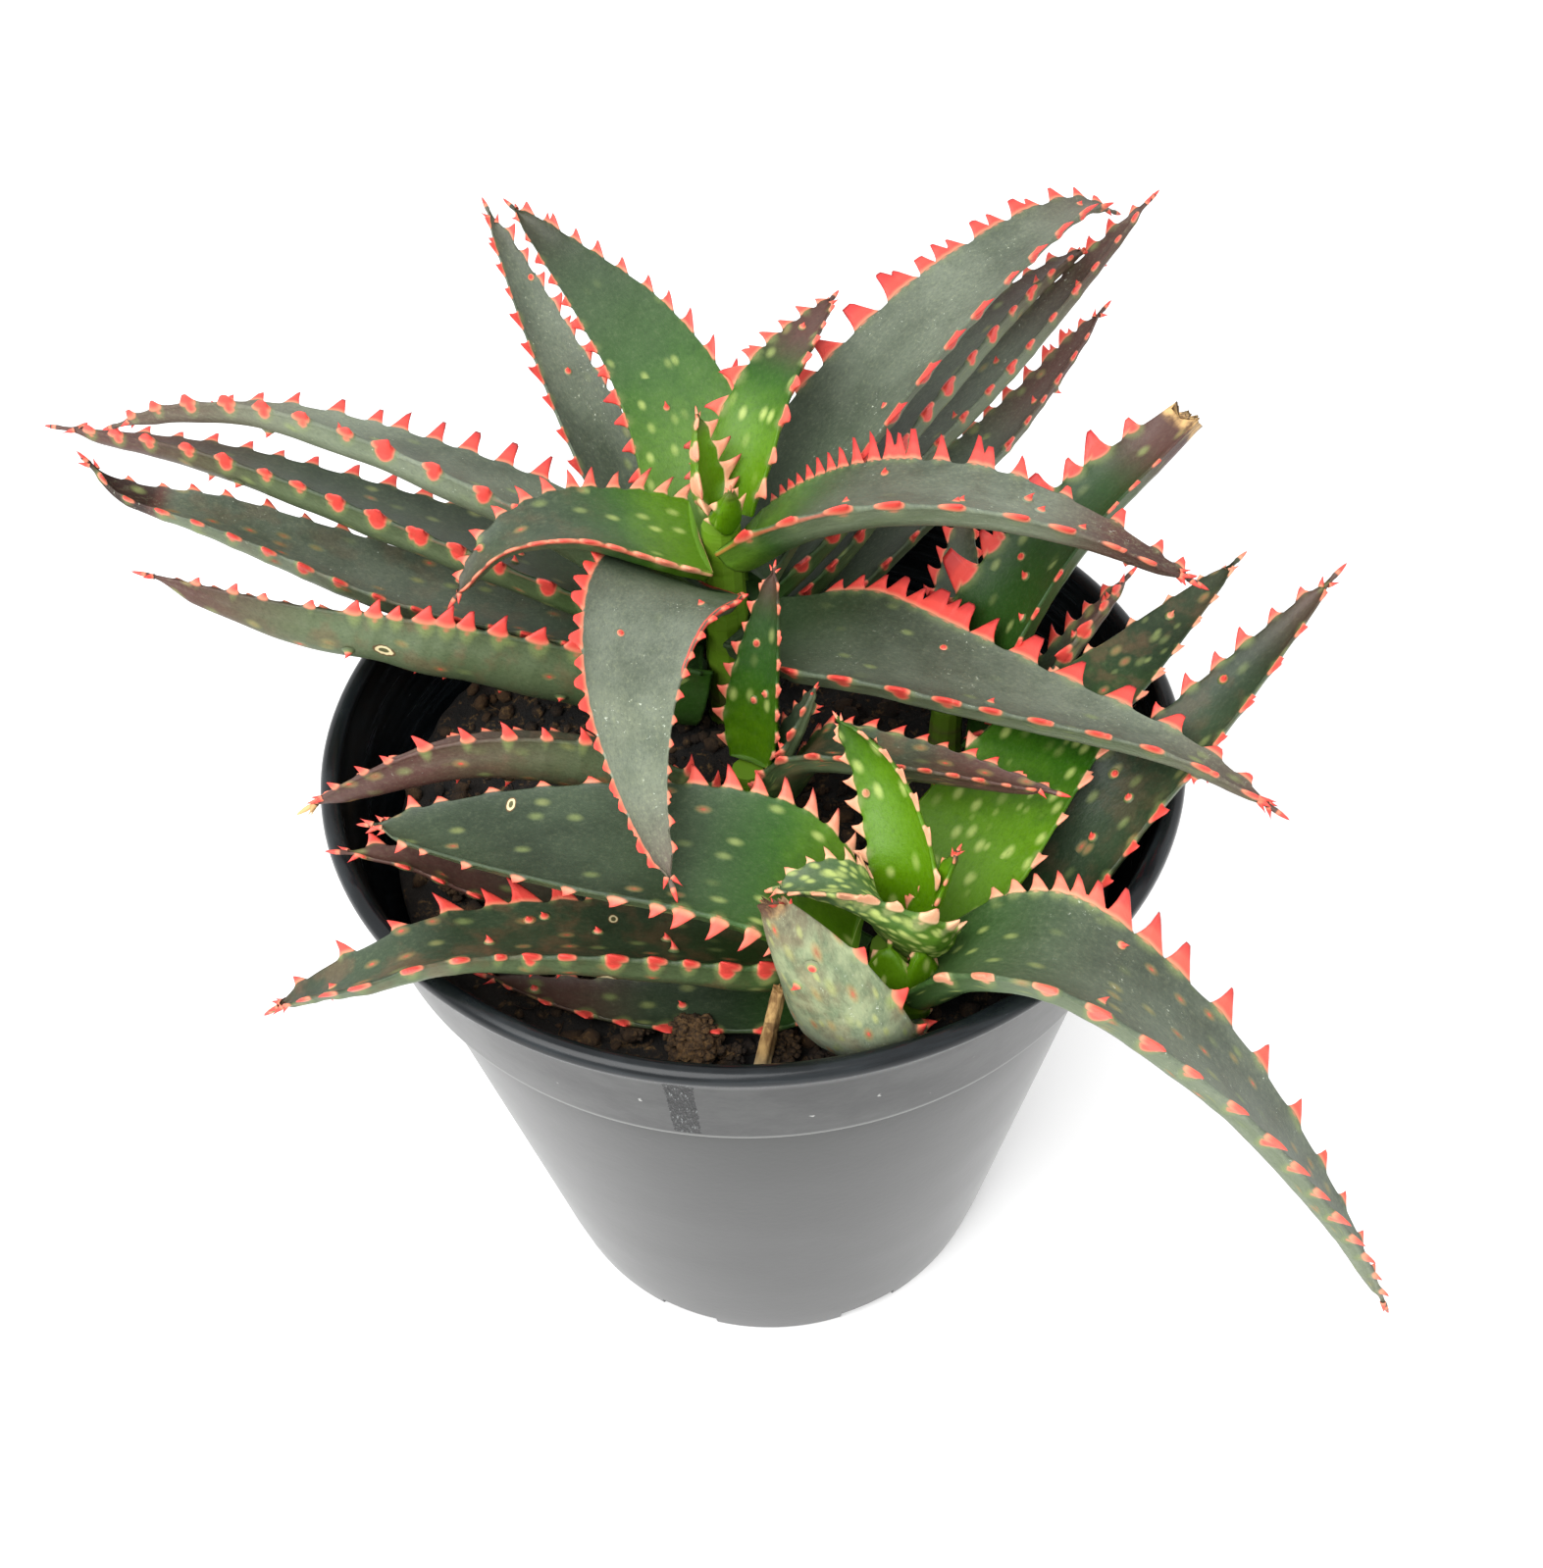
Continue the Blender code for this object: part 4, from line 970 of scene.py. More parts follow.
def raise_spine(build, blade, share, stance, levels, girth, halo):
    """A spine of rings, each a radius, a height along the axis and how red it is."""
    root, axis, height = stance
    side = np.cross(axis, (0.0, 0.3, 1.0))
    side /= np.linalg.norm(side)
    other = np.cross(axis, side)
    rings = []
    for radius, lift, colour in levels:
        middle = root + axis * lift * girth
        rings.append([middle + (side * x + other * y) * radius * girth for x, y in circle(SPINE_SIDES)])
    tooth = [colour for radius, lift, colour in levels] + [1.4]
    values = {"aside": 0.0, "upper": 1.0, "line": 0.0, "share": share, "at": share * blade.length}
    add_cone(build, rings, root + axis * height, tooth, [halo] * len(tooth), values)


def add_cone(build, rings, tip, tooth, halo, values):
    """Adds a cone of rings and a tip; tooth and halo give each ring's value, and the tip's."""
    sides = len(rings[0])
    corners = [corner for ring in rings for corner in ring] + [tip]
    faces = ring_faces(sides, len(rings))
    top = (len(rings) - 1) * sides
    faces += [(top + side, top + (side + 1) % sides, top + sides) for side in range(sides)]
    tooth = np.append(np.repeat(tooth[:-1], sides), tooth[-1])
    halo = np.append(np.repeat(halo[:-1], sides), halo[-1])
    build.add(corners, faces, {"tooth": tooth, "root": halo, **values})


def add_prickles(build, blade, draw):
    """Small red cones on pale mounds, scattered over the faces."""
    leaf = blade.leaf
    for _ in range(leaf.prickles):
        share = draw.uniform(0.25, 0.9)
        across = draw.uniform(-0.75, 0.75)
        upper = draw.random() < 0.6
        raise_prickle(build, blade, share, across, upper, draw.uniform(0.7, 1.9))


def raise_prickle(build, blade, share, across, upper, height):
    """One prickle: a cone that leans towards the leaf's tip."""
    leaf = blade.leaf
    point, tangent, left, up = blade.read_one(share)
    half = float(blade.half_width(share)) + TIP_HALF_WIDTH
    depth = float(blade.depth(share))
    raised = face_heights(across, upper, 0.5 * MARGIN_THICKNESS, leaf.hollow * depth, KEEL_SHARE * depth)
    outward = up if upper else -up
    normal = outward + left * across * (-0.8 if upper else 0.8)
    normal /= np.linalg.norm(normal)
    side = np.cross(normal, tangent)
    root = point + left * across * half + up * float(raised)
    rings = []
    for radius, lift, lean, colour, glow in PRICKLE_RINGS:
        middle = root + normal * lift * height + tangent * lean * height * 0.5
        rings.append([middle + (side * x + tangent * y * 1.15) * radius for x, y in circle(PRICKLE_SIDES)])
    tooth = [row[3] for row in PRICKLE_RINGS] + [1.3]
    halo = [row[4] for row in PRICKLE_RINGS] + [1.0]
    values = {"aside": across * half + (0 if upper else UNDER_SHIFT), "upper": float(upper), "line": 0.0,
              "share": share, "at": share * blade.length}
    add_cone(build, rings, root + normal * height + tangent * height * 0.42, tooth, halo, values)


def make_leaf(leaf, material):
    """The finished leaf piece, in the place of its CAD node where it has one."""
    build, blade, seed = fine_leaf(leaf)
    fields = {name: np.concatenate(values) for name, values in build.fields.items()}
    mesh = bpy.data.meshes.new(leaf.name + "_fine")
    mesh.from_pydata(np.concatenate(build.vertices) * MM, [], build.faces)
    work = bmesh.new()
    work.from_mesh(mesh)
    bmesh.ops.recalc_face_normals(work, faces=work.faces)
    work.to_mesh(mesh)
    work.free()
    mesh.shade_smooth()
    share = fields["share"]
    withered = np.zeros_like(share)
    if leaf.dry:
        withered = ease((fields["at"] - (blade.length - leaf.dry)) / 1.5)
    looks = {
        "tooth": np.clip(fields["tooth"], 0, 1.5),
        "root": fields["root"],
        "upper": fields["upper"],
        "margin": fields["line"],
        "fresh": leaf.fresh * (1 - ease(share / leaf.reach)),
        # The grey wax and the sheen painted with it, thicker towards the tip
        "bloom_and_sheen": leaf.bloom_and_sheen * (0.2 + 0.8 * ease(share / 0.65)),
        "stain": leaf.purple * ease((share - leaf.stain) / leaf.ramp),
        "pale": leaf.pale * (1 - 0.9 * ease(share / leaf.pale_end)),
        "spotted": np.full_like(share, leaf.spots),
        "dry": withered,
        "place": np.stack([fields["at"], fields["aside"], np.full_like(share, PLACE_STEP * seed)], axis=1),
    }
    for name, values in looks.items():
        set_field(mesh, name, values)
    piece = new_object(leaf.name + "_fine", mesh, material)
    node = leaf.name if leaf.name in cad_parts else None
    settle(piece, node)


def set_field(mesh, name, values):
    """Stores one number or one vector for each vertex."""
    values = np.asarray(values, np.float32)
    kind = "FLOAT_VECTOR" if values.ndim == 2 else "FLOAT"
    field = mesh.attributes.new(name, kind, "POINT")
    field.data.foreach_set("vector" if values.ndim == 2 else "value", values.reshape(-1))


def new_object(name, mesh, material):
    """An object with one mesh and one material."""
    item = bpy.data.objects.new(name, mesh)
    bpy.context.scene.collection.objects.link(item)
    if material is not None:
        mesh.materials.append(material)
    return item


# Pot


def body_radius(height):
    """Outer radius of the pot's tapered body at a height."""
    return BASE_RADIUS + (BODY_TOP_RADIUS - BASE_RADIUS) * height / BAND_FOOT


def bend(across, height, radius, start, end, count=6):
    """Points (radius, height) round part of a circle, between two angles in degrees."""
    points = []
    for step in range(count + 1):
        turn = math.radians(start + (end - start) * step / count)
        points.append((across + radius * math.cos(turn), height + radius * math.sin(turn)))
    return points


def pot_outline():
    """The pot's section from the middle of its underside round the lip to its floor."""
    ledge = BAND_FOOT - LEDGE_ROUND
    top = POT_HEIGHT - LIP_RADIUS
    outline = [(0.0, 0.0), (0.5 * BASE_RADIUS, 0.0)]
    outline += bend(BASE_RADIUS - FOOT_BEVEL, FOOT_BEVEL, FOOT_BEVEL, -90, -5)
    outline += [(body_radius(z), z) for z in (10, 30, 50, 70, 90, 105, ledge - 1.2, ledge - 0.5)]
    outline += [(body_radius(ledge) + 0.25, ledge - 0.1), (body_radius(ledge) + 0.7, ledge)]
    outline += bend(BAND_FOOT_RADIUS - LEDGE_ROUND, ledge + LEDGE_ROUND, LEDGE_ROUND, -90, 0)
    outline += [(BAND_FOOT_RADIUS + out, z) for out, z in ((0.6, 120.0), (1.6, 127.0), (2.5, 133.5))]
    outline += [(RIM_RADIUS - LIP_RADIUS - 0.1, 135.4)]
    outline += bend(RIM_RADIUS - LIP_RADIUS, top, LIP_RADIUS, -62, 205, 16)
    outline += [(RIM_RADIUS - 2 * LIP_RADIUS - 0.8, 134.9), (BAND_FOOT_RADIUS + 0.4, 126.0)]
    outline += [(BAND_FOOT_RADIUS - POT_WALL, BAND_FOOT), (body_radius(SHOULDER) - POT_WALL, SHOULDER)]
    outline += [(body_radius(POT_FLOOR) - POT_WALL, POT_FLOOR), (0.0, POT_FLOOR)]
    return outline


def turned_mesh(name, outline, sides):
    """A solid of revolution from points (radius, height) in millimetres."""
    work = bmesh.new()
    join_rings(work, [level_ring(work, radius, height, sides) for radius, height in outline])
    bmesh.ops.recalc_face_normals(work, faces=work.faces)
    return close_mesh(work, name)


def make_pot():
    """The turned pot, with notches round the foot that let water out."""
    pot = new_object("pot_fine", turned_mesh("pot_fine", pot_outline(), POT_SIDES), pot_material())
    work = bmesh.new()
    for index in range(NOTCH_COUNT):
        angle = math.tau * (index + 0.5) / NOTCH_COUNT
        box = bmesh.ops.create_cube(work, size=MM)["verts"]
        bmesh.ops.scale(work, vec=(2 * NOTCH_DEPTH, NOTCH_WIDTH, 2 * NOTCH_HEIGHT), verts=box)
        bmesh.ops.translate(work, vec=(BASE_RADIUS * MM, 0, 0), verts=box)
        bmesh.ops.rotate(work, cent=(0, 0, 0), matrix=Matrix.Rotation(angle, 3, "Z"), verts=box)
    cut_away(pot, new_object("notches", close_mesh(work, "notches"), None))
    pot.data.materials.append(pot_inside_material())
    for face in pot.data.polygons:
        inward = face.normal.x * face.center.x + face.normal.y * face.center.y < 0
        face.material_index = 1 if face.center.z > GLOSS_FROM * MM or inward else 0
    pot.data.shade_smooth()
    pot.data.set_sharp_from_angle(angle=math.radians(SHARP_ANGLE))
    settle(pot, "pot")


def cut_away(item, cutter):
    """Takes a cutter's volume out of an object for good, and removes the cutter."""
    cut = item.modifiers.new("cut", "BOOLEAN")
    cut.operation = "DIFFERENCE"
    cut.object = cutter
    graph = bpy.context.evaluated_depsgraph_get()
    mesh = bpy.data.meshes.new_from_object(item.evaluated_get(graph))
    item.modifiers.clear()
    item.data = mesh
    bpy.data.objects.remove(cutter)


def settle(piece, node):
    """Fixes a piece to the plant, in the place of a CAD node where one is named."""
    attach(piece, "root")
    if node:
        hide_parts(node)


# Soil


def soil_height(x, y):
    """The soil's lumpy surface, in millimetres."""
    wave = math.sin(0.31 * x + 0.7) * math.cos(0.27 * y - 0.4)
    wave += 0.7 * math.sin(0.53 * y + 0.19 * x) * math.cos(0.47 * x - 1.1)
    coarse = noise.fractal(Vector((x / 7, y / 7, 1.7)), 1.0, 2.1, 4)
    fine = noise.fractal(Vector((x / 1.7, y / 1.7, 4.1)), 1.0, 2.1, 2)
    return SOIL_LEVEL + SOIL_LUMP * wave + 0.9 * coarse + 0.35 * fine


def make_soil():
    """The soil with its rough surface, its crumbs and its larger clods."""
    work = bmesh.new()
    edge = body_radius(SHOULDER) - POT_WALL - FIT_GAP
    foot = body_radius(POT_FLOOR) - POT_WALL - FIT_GAP
    levels = ((foot, POT_FLOOR + FIT_GAP), (edge, SHOULDER), (edge, SOIL_LEVEL - 2.5))
    rings = [level_ring(work, radius, level, SOIL_SIDES) for radius, level in levels]
    for index in range(SOIL_RINGS):
        radius = (edge - 0.4) * (1 - index / SOIL_RINGS)
        sunk = 1.2 * max(0.0, 1 - (edge - radius) / 2.5)
        rings.append(surface_ring(work, radius, sunk))
    join_rings(work, rings)
    work.faces.new(rings[0][::-1])
    work.faces.new(rings[-1])
    mesh = close_mesh(work, "soil_fine")
    mesh.shade_smooth()
    earth = soil_material("potting_soil", SOIL_DARK, SOIL_LIGHT)
    bark = soil_material("peat_crumbs", PEAT_DARK, PEAT_LIGHT)
    settle(new_object("soil_fine", mesh, earth), "soil")
    settle(new_object("soil_crumbs", crumb_mesh(), bark), None)


def surface_ring(work, radius, sunk):
    """A ring of vertices on the soil's surface, or sunk a little below it."""
    ring = []
    for x, y in circle(SOIL_SIDES):
        place = Vector((radius * x, radius * y, soil_height(radius * x, radius * y) - sunk))
        ring.append(work.verts.new(place * MM))
    return ring


def strew(draw, reach):
    """A place in plan, as likely in one part of the pot as in another."""
    radius = reach * math.sqrt(draw.random())
    angle = draw.uniform(0, math.tau)
    return radius * math.cos(angle), radius * math.sin(angle)


def crumb_mesh():
    """Crumbs, clods and dry roots strewn over the soil."""
    draw = random.Random(CRUMB_SEED)
    work = bmesh.new()
    for _ in range(CRUMBS):
        x, y = strew(draw, CRUMB_REACH)
        size = CRUMB_SMALLEST + (CRUMB_LARGEST - CRUMB_SMALLEST) * draw.random() ** 2.5
        lump(work, draw, (x, y, soil_height(x, y) + 0.25 * size), size, 1)
    for x, y, size, height in CLODS:
        crumbly_clod(work, draw, Vector((x, y, height)), size)
    for _ in range(FIBRES):
        x, y = strew(draw, FIBRE_REACH)
        heading = (draw.uniform(0, math.tau), draw.uniform(-0.1, 0.25))
        lay_fibre(work, draw, Vector((x, y, soil_height(x, y) + 0.2)), draw.uniform(3, 9), heading)
    for _ in range(TUFT_FIBRES):
        start = Vector(TUFT_PLACE) + Vector((draw.gauss(0, 1.0), draw.gauss(0, 1.8), draw.uniform(-2, 0)))
        lay_fibre(work, draw, start, draw.uniform(6, 15), (TUFT_LEAN, draw.uniform(2.0, 4.0)))
    mesh = close_mesh(work, "soil_crumbs")
    mesh.shade_smooth()
    return mesh


def crumbly_clod(work, draw, place, size):
    """A clod of peat: a rough core with small crumbs stuck all over it."""
    lump(work, draw, place, 0.8 * size, 3)
    for _ in range(int(30 * size)):
        away = Vector((draw.gauss(0, 1), draw.gauss(0, 1), abs(draw.gauss(0, 1)))).normalized()
        away = Vector((away.x, away.y, 0.75 * away.z)) * size * draw.uniform(0.7, 1.0)
        lump(work, draw, place + away, size * draw.uniform(0.1, 0.24), 1)


def lay_fibre(work, draw, start, length, heading):
    """A thin bent root or shred of peat that sets out at an angle and a slope."""
    angle, rise = heading
    place = start
    rings = []
    for _ in range(FIBRE_STEPS + 1):
        along = Vector((math.cos(angle), math.sin(angle), rise)).normalized()
        side = along.orthogonal().normalized()
        other = along.cross(side)
        away = [(side * x + other * y) * FIBRE_RADIUS for x, y in circle(FIBRE_SIDES)]
        rings.append([work.verts.new((place + step) * MM) for step in away])
        place = place + along * length / FIBRE_STEPS
        angle += draw.uniform(-0.6, 0.6)
        rise += draw.uniform(-0.35, 0.25)
    join_rings(work, rings)
    work.faces.new(rings[0][::-1])
    work.faces.new(rings[-1])


def lump(work, draw, place, size, detail):
    """One rough crumb, made of a small ball pushed in and out by noise."""
    made = bmesh.ops.create_icosphere(work, subdivisions=detail, radius=1.0)["verts"]
    shift = Vector((draw.uniform(0, 50), draw.uniform(0, 50), draw.uniform(0, 50)))
    squash = Vector((draw.uniform(0.7, 1.3), draw.uniform(0.6, 1.1), draw.uniform(0.5, 0.9)))
    spin = Matrix.Rotation(draw.uniform(0, math.tau), 3, "Z")
    for vertex in made:
        rough = 1 + 0.45 * noise.noise(vertex.co * 1.3 + shift) + 0.3 * noise.noise(vertex.co * 4.0 + shift)
        away = spin @ (vertex.co * rough * squash) * size
        vertex.co = (away + Vector(place)) * MM


# Dry flower stalk


def make_stalk():
    """The dry stub of a flower stalk: a ribbed stem that ends in torn fibres."""
    top = Vector(STALK_TOP)
    foot = Vector(STALK_FOOT)
    axis = (top - foot).normalized()
    across = axis.orthogonal().normalized()
    beside = axis.cross(across)
    work = bmesh.new()
    rings = []
    for level in range(STALK_LEVELS + 1):
        share = level / STALK_LEVELS
        ring = []
        for side in range(STALK_SIDES):
            angle = math.tau * side / STALK_SIDES
            radius = STALK_RADIUS * (1 + (STALK_TAPER - 1) * share) * stalk_rib(angle, share)
            torn = 0.9 * abs(noise.noise(Vector((angle * 2.3, 3.0, 0.0)))) if level == STALK_LEVELS else 0.0
            away = across * math.cos(angle) * radius + beside * math.sin(angle) * radius
            ring.append(work.verts.new((foot.lerp(top, share) + away + axis * torn) * MM))
        rings.append(ring)
    join_rings(work, rings)
    work.faces.new(rings[0][::-1])
    hollow = work.verts.new((top - axis * 0.7) * MM)
    for side in range(STALK_SIDES):
        work.faces.new((rings[-1][side], rings[-1][(side + 1) % STALK_SIDES], hollow))
    mesh = close_mesh(work, "dry_stalk_fine")
    mesh.shade_smooth()
    settle(new_object("dry_stalk_fine", mesh, straw_material()), "dry_stalk")


def stalk_rib(angle, share):
    """How far the stalk's ribs and knots push its skin out, about 1."""
    rib = 1 + 0.10 * math.sin(5 * angle) + 0.05 * math.sin(11 * angle + 9 * share)
    return rib + 0.06 * noise.noise(Vector((math.cos(angle) * 2, math.sin(angle) * 2, share * 9)))


# Node graphs

# Cells of the spots along a leaf and across it, for each millimetre
OVAL_CELLS = (0.16, 0.29)
CROWDED_CELLS = (0.34, 0.66)


def shade(colour):
    """A colour of 0 to 255 as the linear values that the shader takes."""
    linear = []
    for value in colour:
        value = value / 255
        linear.append(value / 12.92 if value <= 0.04045 else ((value + 0.055) / 1.055) ** 2.4)
    return (*linear, 1.0)


class Graph:
    """A material's node tree with short ways to add nodes."""

    def __init__(self, name):
        self.material = bpy.data.materials.new(name)
        self.material.use_nodes = True
        self.tree = self.material.node_tree
        self.shader = self.tree.nodes["Principled BSDF"]

    def node(self, kind, inputs=None, **settings):
        """A node with settings, and values or links for its inputs."""
        made = self.tree.nodes.new("ShaderNode" + kind)
        for name, value in settings.items():
            setattr(made, name, value)
        for key, value in (inputs or {}).items():
            self.feed(made.inputs[key], value)
        return made

    def feed(self, socket, value):
        """Links a socket to another, or sets its value."""
        if isinstance(value, bpy.types.NodeSocket):
            self.tree.links.new(value, socket)
        else:
            socket.default_value = value

    def field(self, name):
        """A point field of the mesh as a number."""
        return self.node("Attribute", attribute_name=name).outputs["Fac"]

    def vector(self, name):
        """A point field of the mesh as a vector."""
        return self.node("Attribute", attribute_name=name).outputs["Vector"]

    def math(self, operation, one, two=0.5, clamp=False):
        """One arithmetic step."""
        return self.node("Math", {0: one, 1: two}, operation=operation, use_clamp=clamp).outputs[0]

    def plus(self, one, two):
        """A sum."""
        return self.math("ADD", one, two)

    def minus(self, one, two):
        """A difference."""
        return self.math("SUBTRACT", one, two)

    def times(self, one, two, clamp=False):
        """A product, kept from 0 to 1 where it is clamped."""
        return self.math("MULTIPLY", one, two, clamp)

    def place(self):
        """A point's place in the object, in metres."""
        return self.node("TexCoord").outputs["Object"]

    def height(self, place):
        """A place's height, in metres."""
        return self.node("SeparateXYZ", {0: place}).outputs[2]

    def stretch(self, vector, scale):
        """A vector multiplied along its axes."""
        return self.node("VectorMath", {0: vector, 1: scale}, operation="MULTIPLY").outputs[0]

    def noise(self, vector, scale, detail=3.0, rough=0.55):
        """Soft noise, about 0.5."""
        inputs = {"Vector": vector, "Scale": scale, "Detail": detail, "Roughness": rough}
        return self.node("TexNoise", inputs).outputs["Fac"]

    def steps(self, value, low, high):
        """Rises smoothly from 0 at low to 1 at high."""
        made = self.node("MapRange", {"Value": value, "From Min": low, "From Max": high},
                         interpolation_type="SMOOTHSTEP")
        return made.outputs["Result"]

    def blend(self, factor, under, over, mode="MIX"):
        """Two colours mixed by a factor."""
        made = self.node("Mix", data_type="RGBA", blend_type=mode)
        self.feed(made.inputs[0], factor)
        self.feed(made.inputs[6], self.tint(under))
        self.feed(made.inputs[7], self.tint(over))
        return made.outputs[2]

    def tint(self, value):
        """A socket as it is, or a named colour made linear."""
        return value if isinstance(value, bpy.types.NodeSocket) else shade(value)

    def bump(self, height, strength, distance):
        """A bump from a height, in millimetres of distance."""
        made = self.node("Bump", {"Height": height, "Strength": strength, "Distance": distance * MM})
        return made.outputs["Normal"]

    def finish(self, colour, rough, normal=None, constants=None):
        """Feeds the shader, sets its constants on it, and gives the material."""
        inputs = {"Base Color": colour, "Roughness": rough, **(constants or {})}
        if normal is not None:
            inputs["Normal"] = normal
        for name, value in inputs.items():
            self.feed(self.shader.inputs[name], value)
        return self.material


def spots(g, place, scale, density, low, high):
    """Oval spots, one in some of the cells of a stretched grid that differs from leaf to leaf."""
    at, aside, leaf = g.node("SeparateXYZ", {0: place}).outputs
    along = g.node("Math", {0: at, 1: scale[0], 2: g.times(leaf, 0.371)}, operation="MULTIPLY_ADD")
    across = g.node("Math", {0: aside, 1: scale[1], 2: g.times(leaf, 0.733)}, operation="MULTIPLY_ADD")
    flat = g.node("CombineXYZ", {0: along.outputs[0], 1: across.outputs[0]}).outputs[0]
    inputs = {"Vector": flat, "Scale": 1.0, "Randomness": 0.9}
    cell = g.node("TexVoronoi", inputs, voronoi_dimensions="2D")
    size = g.node("SeparateColor", {0: cell.outputs["Color"]}).outputs[0]
    chosen = g.steps(g.minus(g.times(density, 0.55), size), 0.0, 0.2)
    return g.times(chosen, g.steps(cell.outputs["Distance"], high, low))


def ring_scars(g, place, colour):
    """Small cream rings with a brown outline, each at a place on one leaf."""
    names = [leaf.name for leaf in LEAVES]
    for name, at, aside, long, wide in RING_SCARS:
        middle = (at, aside, PLACE_STEP * names.index(name))
        away = g.node("VectorMath", {0: place, 1: middle}, operation="SUBTRACT").outputs[0]
        flat = g.stretch(away, (1 / long, 1 / wide, 1.0))
        reach = g.node("VectorMath", {0: flat}, operation="LENGTH").outputs["Value"]
        reach = g.plus(reach, g.times(g.noise(place, 1.1, 2), 0.4))
        colour = g.blend(g.steps(reach, 1.35, 1.2), colour, RING_OUTLINE)
        colour = g.blend(g.steps(reach, 1.12, 1.0), colour, SCAR_CREAM)
        colour = g.blend(g.steps(reach, 0.74, 0.62), colour, RING_MIDDLE)
    return colour


def leaf_green(g, place, patches, blotches, wax_and_sheen):
    """The skin's green, its wax with a painted sheen, its ruddy patches and its stained tip."""
    colour = g.blend(g.steps(patches, 0.25, 0.8), DEEP_GREEN, MID_GREEN)
    colour = g.blend(g.times(g.minus(1.0, g.field("upper")), 0.7), colour, UNDER_GREEN)
    fresh = g.times(g.field("fresh"), g.plus(0.7, g.times(blotches, 0.6)), clamp=True)
    colour = g.blend(g.times(fresh, 2.0, clamp=True), colour, LIVELY_GREEN)
    colour = g.blend(g.steps(fresh, 0.4, 1.0), colour, FRESH_GREEN)
    # Grey wax, with the sheen of the light painted into the same grey
    colour = g.blend(g.times(wax_and_sheen, 0.45, clamp=True), colour, WAX_AND_SHEEN_GREY)
    skin = g.blend(g.steps(g.noise(place, 0.22, 3, 0.6), 0.4, 0.62), PALE_SKIN_DARK, PALE_SKIN)
    colour = g.blend(g.steps(g.field("bloom_and_sheen"), 1.2, 2.6), colour, skin)
    ruddy = g.steps(g.noise(place, 0.16, 3, 0.6), 0.46, 0.66)
    ruddy = g.times(ruddy, g.steps(g.field("spotted"), 0.8, 1.0))
    ruddy = g.times(ruddy, g.steps(fresh, 0.5, 0.1))
    colour = g.blend(g.times(ruddy, 0.35), colour, RUDDY_BROWN)
    streaks = g.noise(g.stretch(place, (0.07, 0.7, 1.0)), 1.0, 3)
    stain = g.times(g.field("stain"), g.plus(0.65, g.times(streaks, 0.7)), clamp=True)
    colour = g.blend(stain, colour, PURPLE_BROWN)
    return g.blend(g.steps(g.field("stain"), 1.0, 1.7), colour, WITHERED)


def leaf_spots(g, place, colour):
    """Pale ovals, the crowded spots of the young leaves, and sores; also gives the ovals."""
    spotted = g.field("spotted")
    spot = g.blend(g.steps(g.field("fresh"), 0.1, 0.6), PALE_SPOT, BRIGHT_SPOT)
    spot = g.blend(g.steps(g.field("bloom_and_sheen"), 1.4, 2.4), spot, PALE_SKIN_SPOT)
    oval = spots(g, place, OVAL_CELLS, spotted, 0.04, 0.3)
    colour = g.blend(g.times(oval, 0.62), colour, spot)
    crowded = spots(g, place, CROWDED_CELLS, g.minus(spotted, 1.1), 0.08, 0.42)
    colour = g.blend(g.times(crowded, 0.8), colour, spot)
    sored = g.times(g.minus(spotted, 0.3), 0.95)
    sored = g.times(sored, g.steps(g.field("fresh"), 0.3, 0.1))
    sore = spots(g, place, OVAL_CELLS, sored, 0.0, 0.27)
    colour = g.blend(g.times(sore, 0.7), colour, SORE_BROWN)
    sore = spots(g, place, OVAL_CELLS, g.times(sored, 0.6), 0.0, 0.1)
    colour = g.blend(g.times(sore, 0.8), colour, CORAL)
    halo = g.times(g.steps(g.field("root"), 0.2, 0.5), g.plus(0.12, g.times(spotted, 0.45)))
    return g.blend(halo, colour, PALE_SPOT), oval


def leaf_grain(g, place, colour, wax_and_sheen, stipple, grain):
    """Dark stipple, pale flecks in the wax, and the skin's mottled grain, whose light parts grow with the
    wax and its painted sheen.
    """
    colour = g.blend(g.times(g.steps(stipple, 0.5, 0.7), 0.12), colour, STIPPLE_GREEN)
    flecks = g.steps(g.noise(place, 1.1, 5, 0.8), 0.63, 0.67)
    flecks = g.times(flecks, g.steps(g.noise(place, 0.09, 2), 0.51, 0.57))
    colour = g.blend(g.times(flecks, g.steps(wax_and_sheen, 0.1, 0.5)), colour, WAX_FLECK)
    colour = g.blend(g.times(g.steps(grain, 0.5, 0.32), 0.5), colour, GRAIN_SHADE, "MULTIPLY")
    light = g.times(g.steps(grain, 0.5, 0.68), g.plus(0.06, g.times(wax_and_sheen, 0.3)))
    return g.blend(light, colour, GRAIN_LIGHT)


def tooth_colours(g, colour):
    """Coral teeth with paler roots and dark ends, and the coloured line of a margin."""
    tooth = g.field("tooth")
    root = g.field("root")
    pale = g.field("pale")
    line = g.steps(g.field("margin"), 0.5, 1.0)
    colour = g.blend(g.times(line, 0.9), colour, g.blend(pale, CORAL, PEACH))
    flesh = g.math("MAXIMUM", g.steps(tooth, 0.04, 0.2), g.steps(root, 0.5, 0.72))
    colour = g.blend(flesh, colour, g.blend(pale, CORAL_LIGHT, PEACH))
    ripe = g.math("MAXIMUM", g.steps(tooth, 0.06, 0.5), g.steps(root, 0.54, 0.8))
    colour = g.blend(ripe, colour, g.blend(g.times(pale, 0.8), CORAL, PEACH))
    return g.blend(g.times(g.steps(tooth, 0.9, 1.5), 0.75), colour, TOOTH_END_RED)


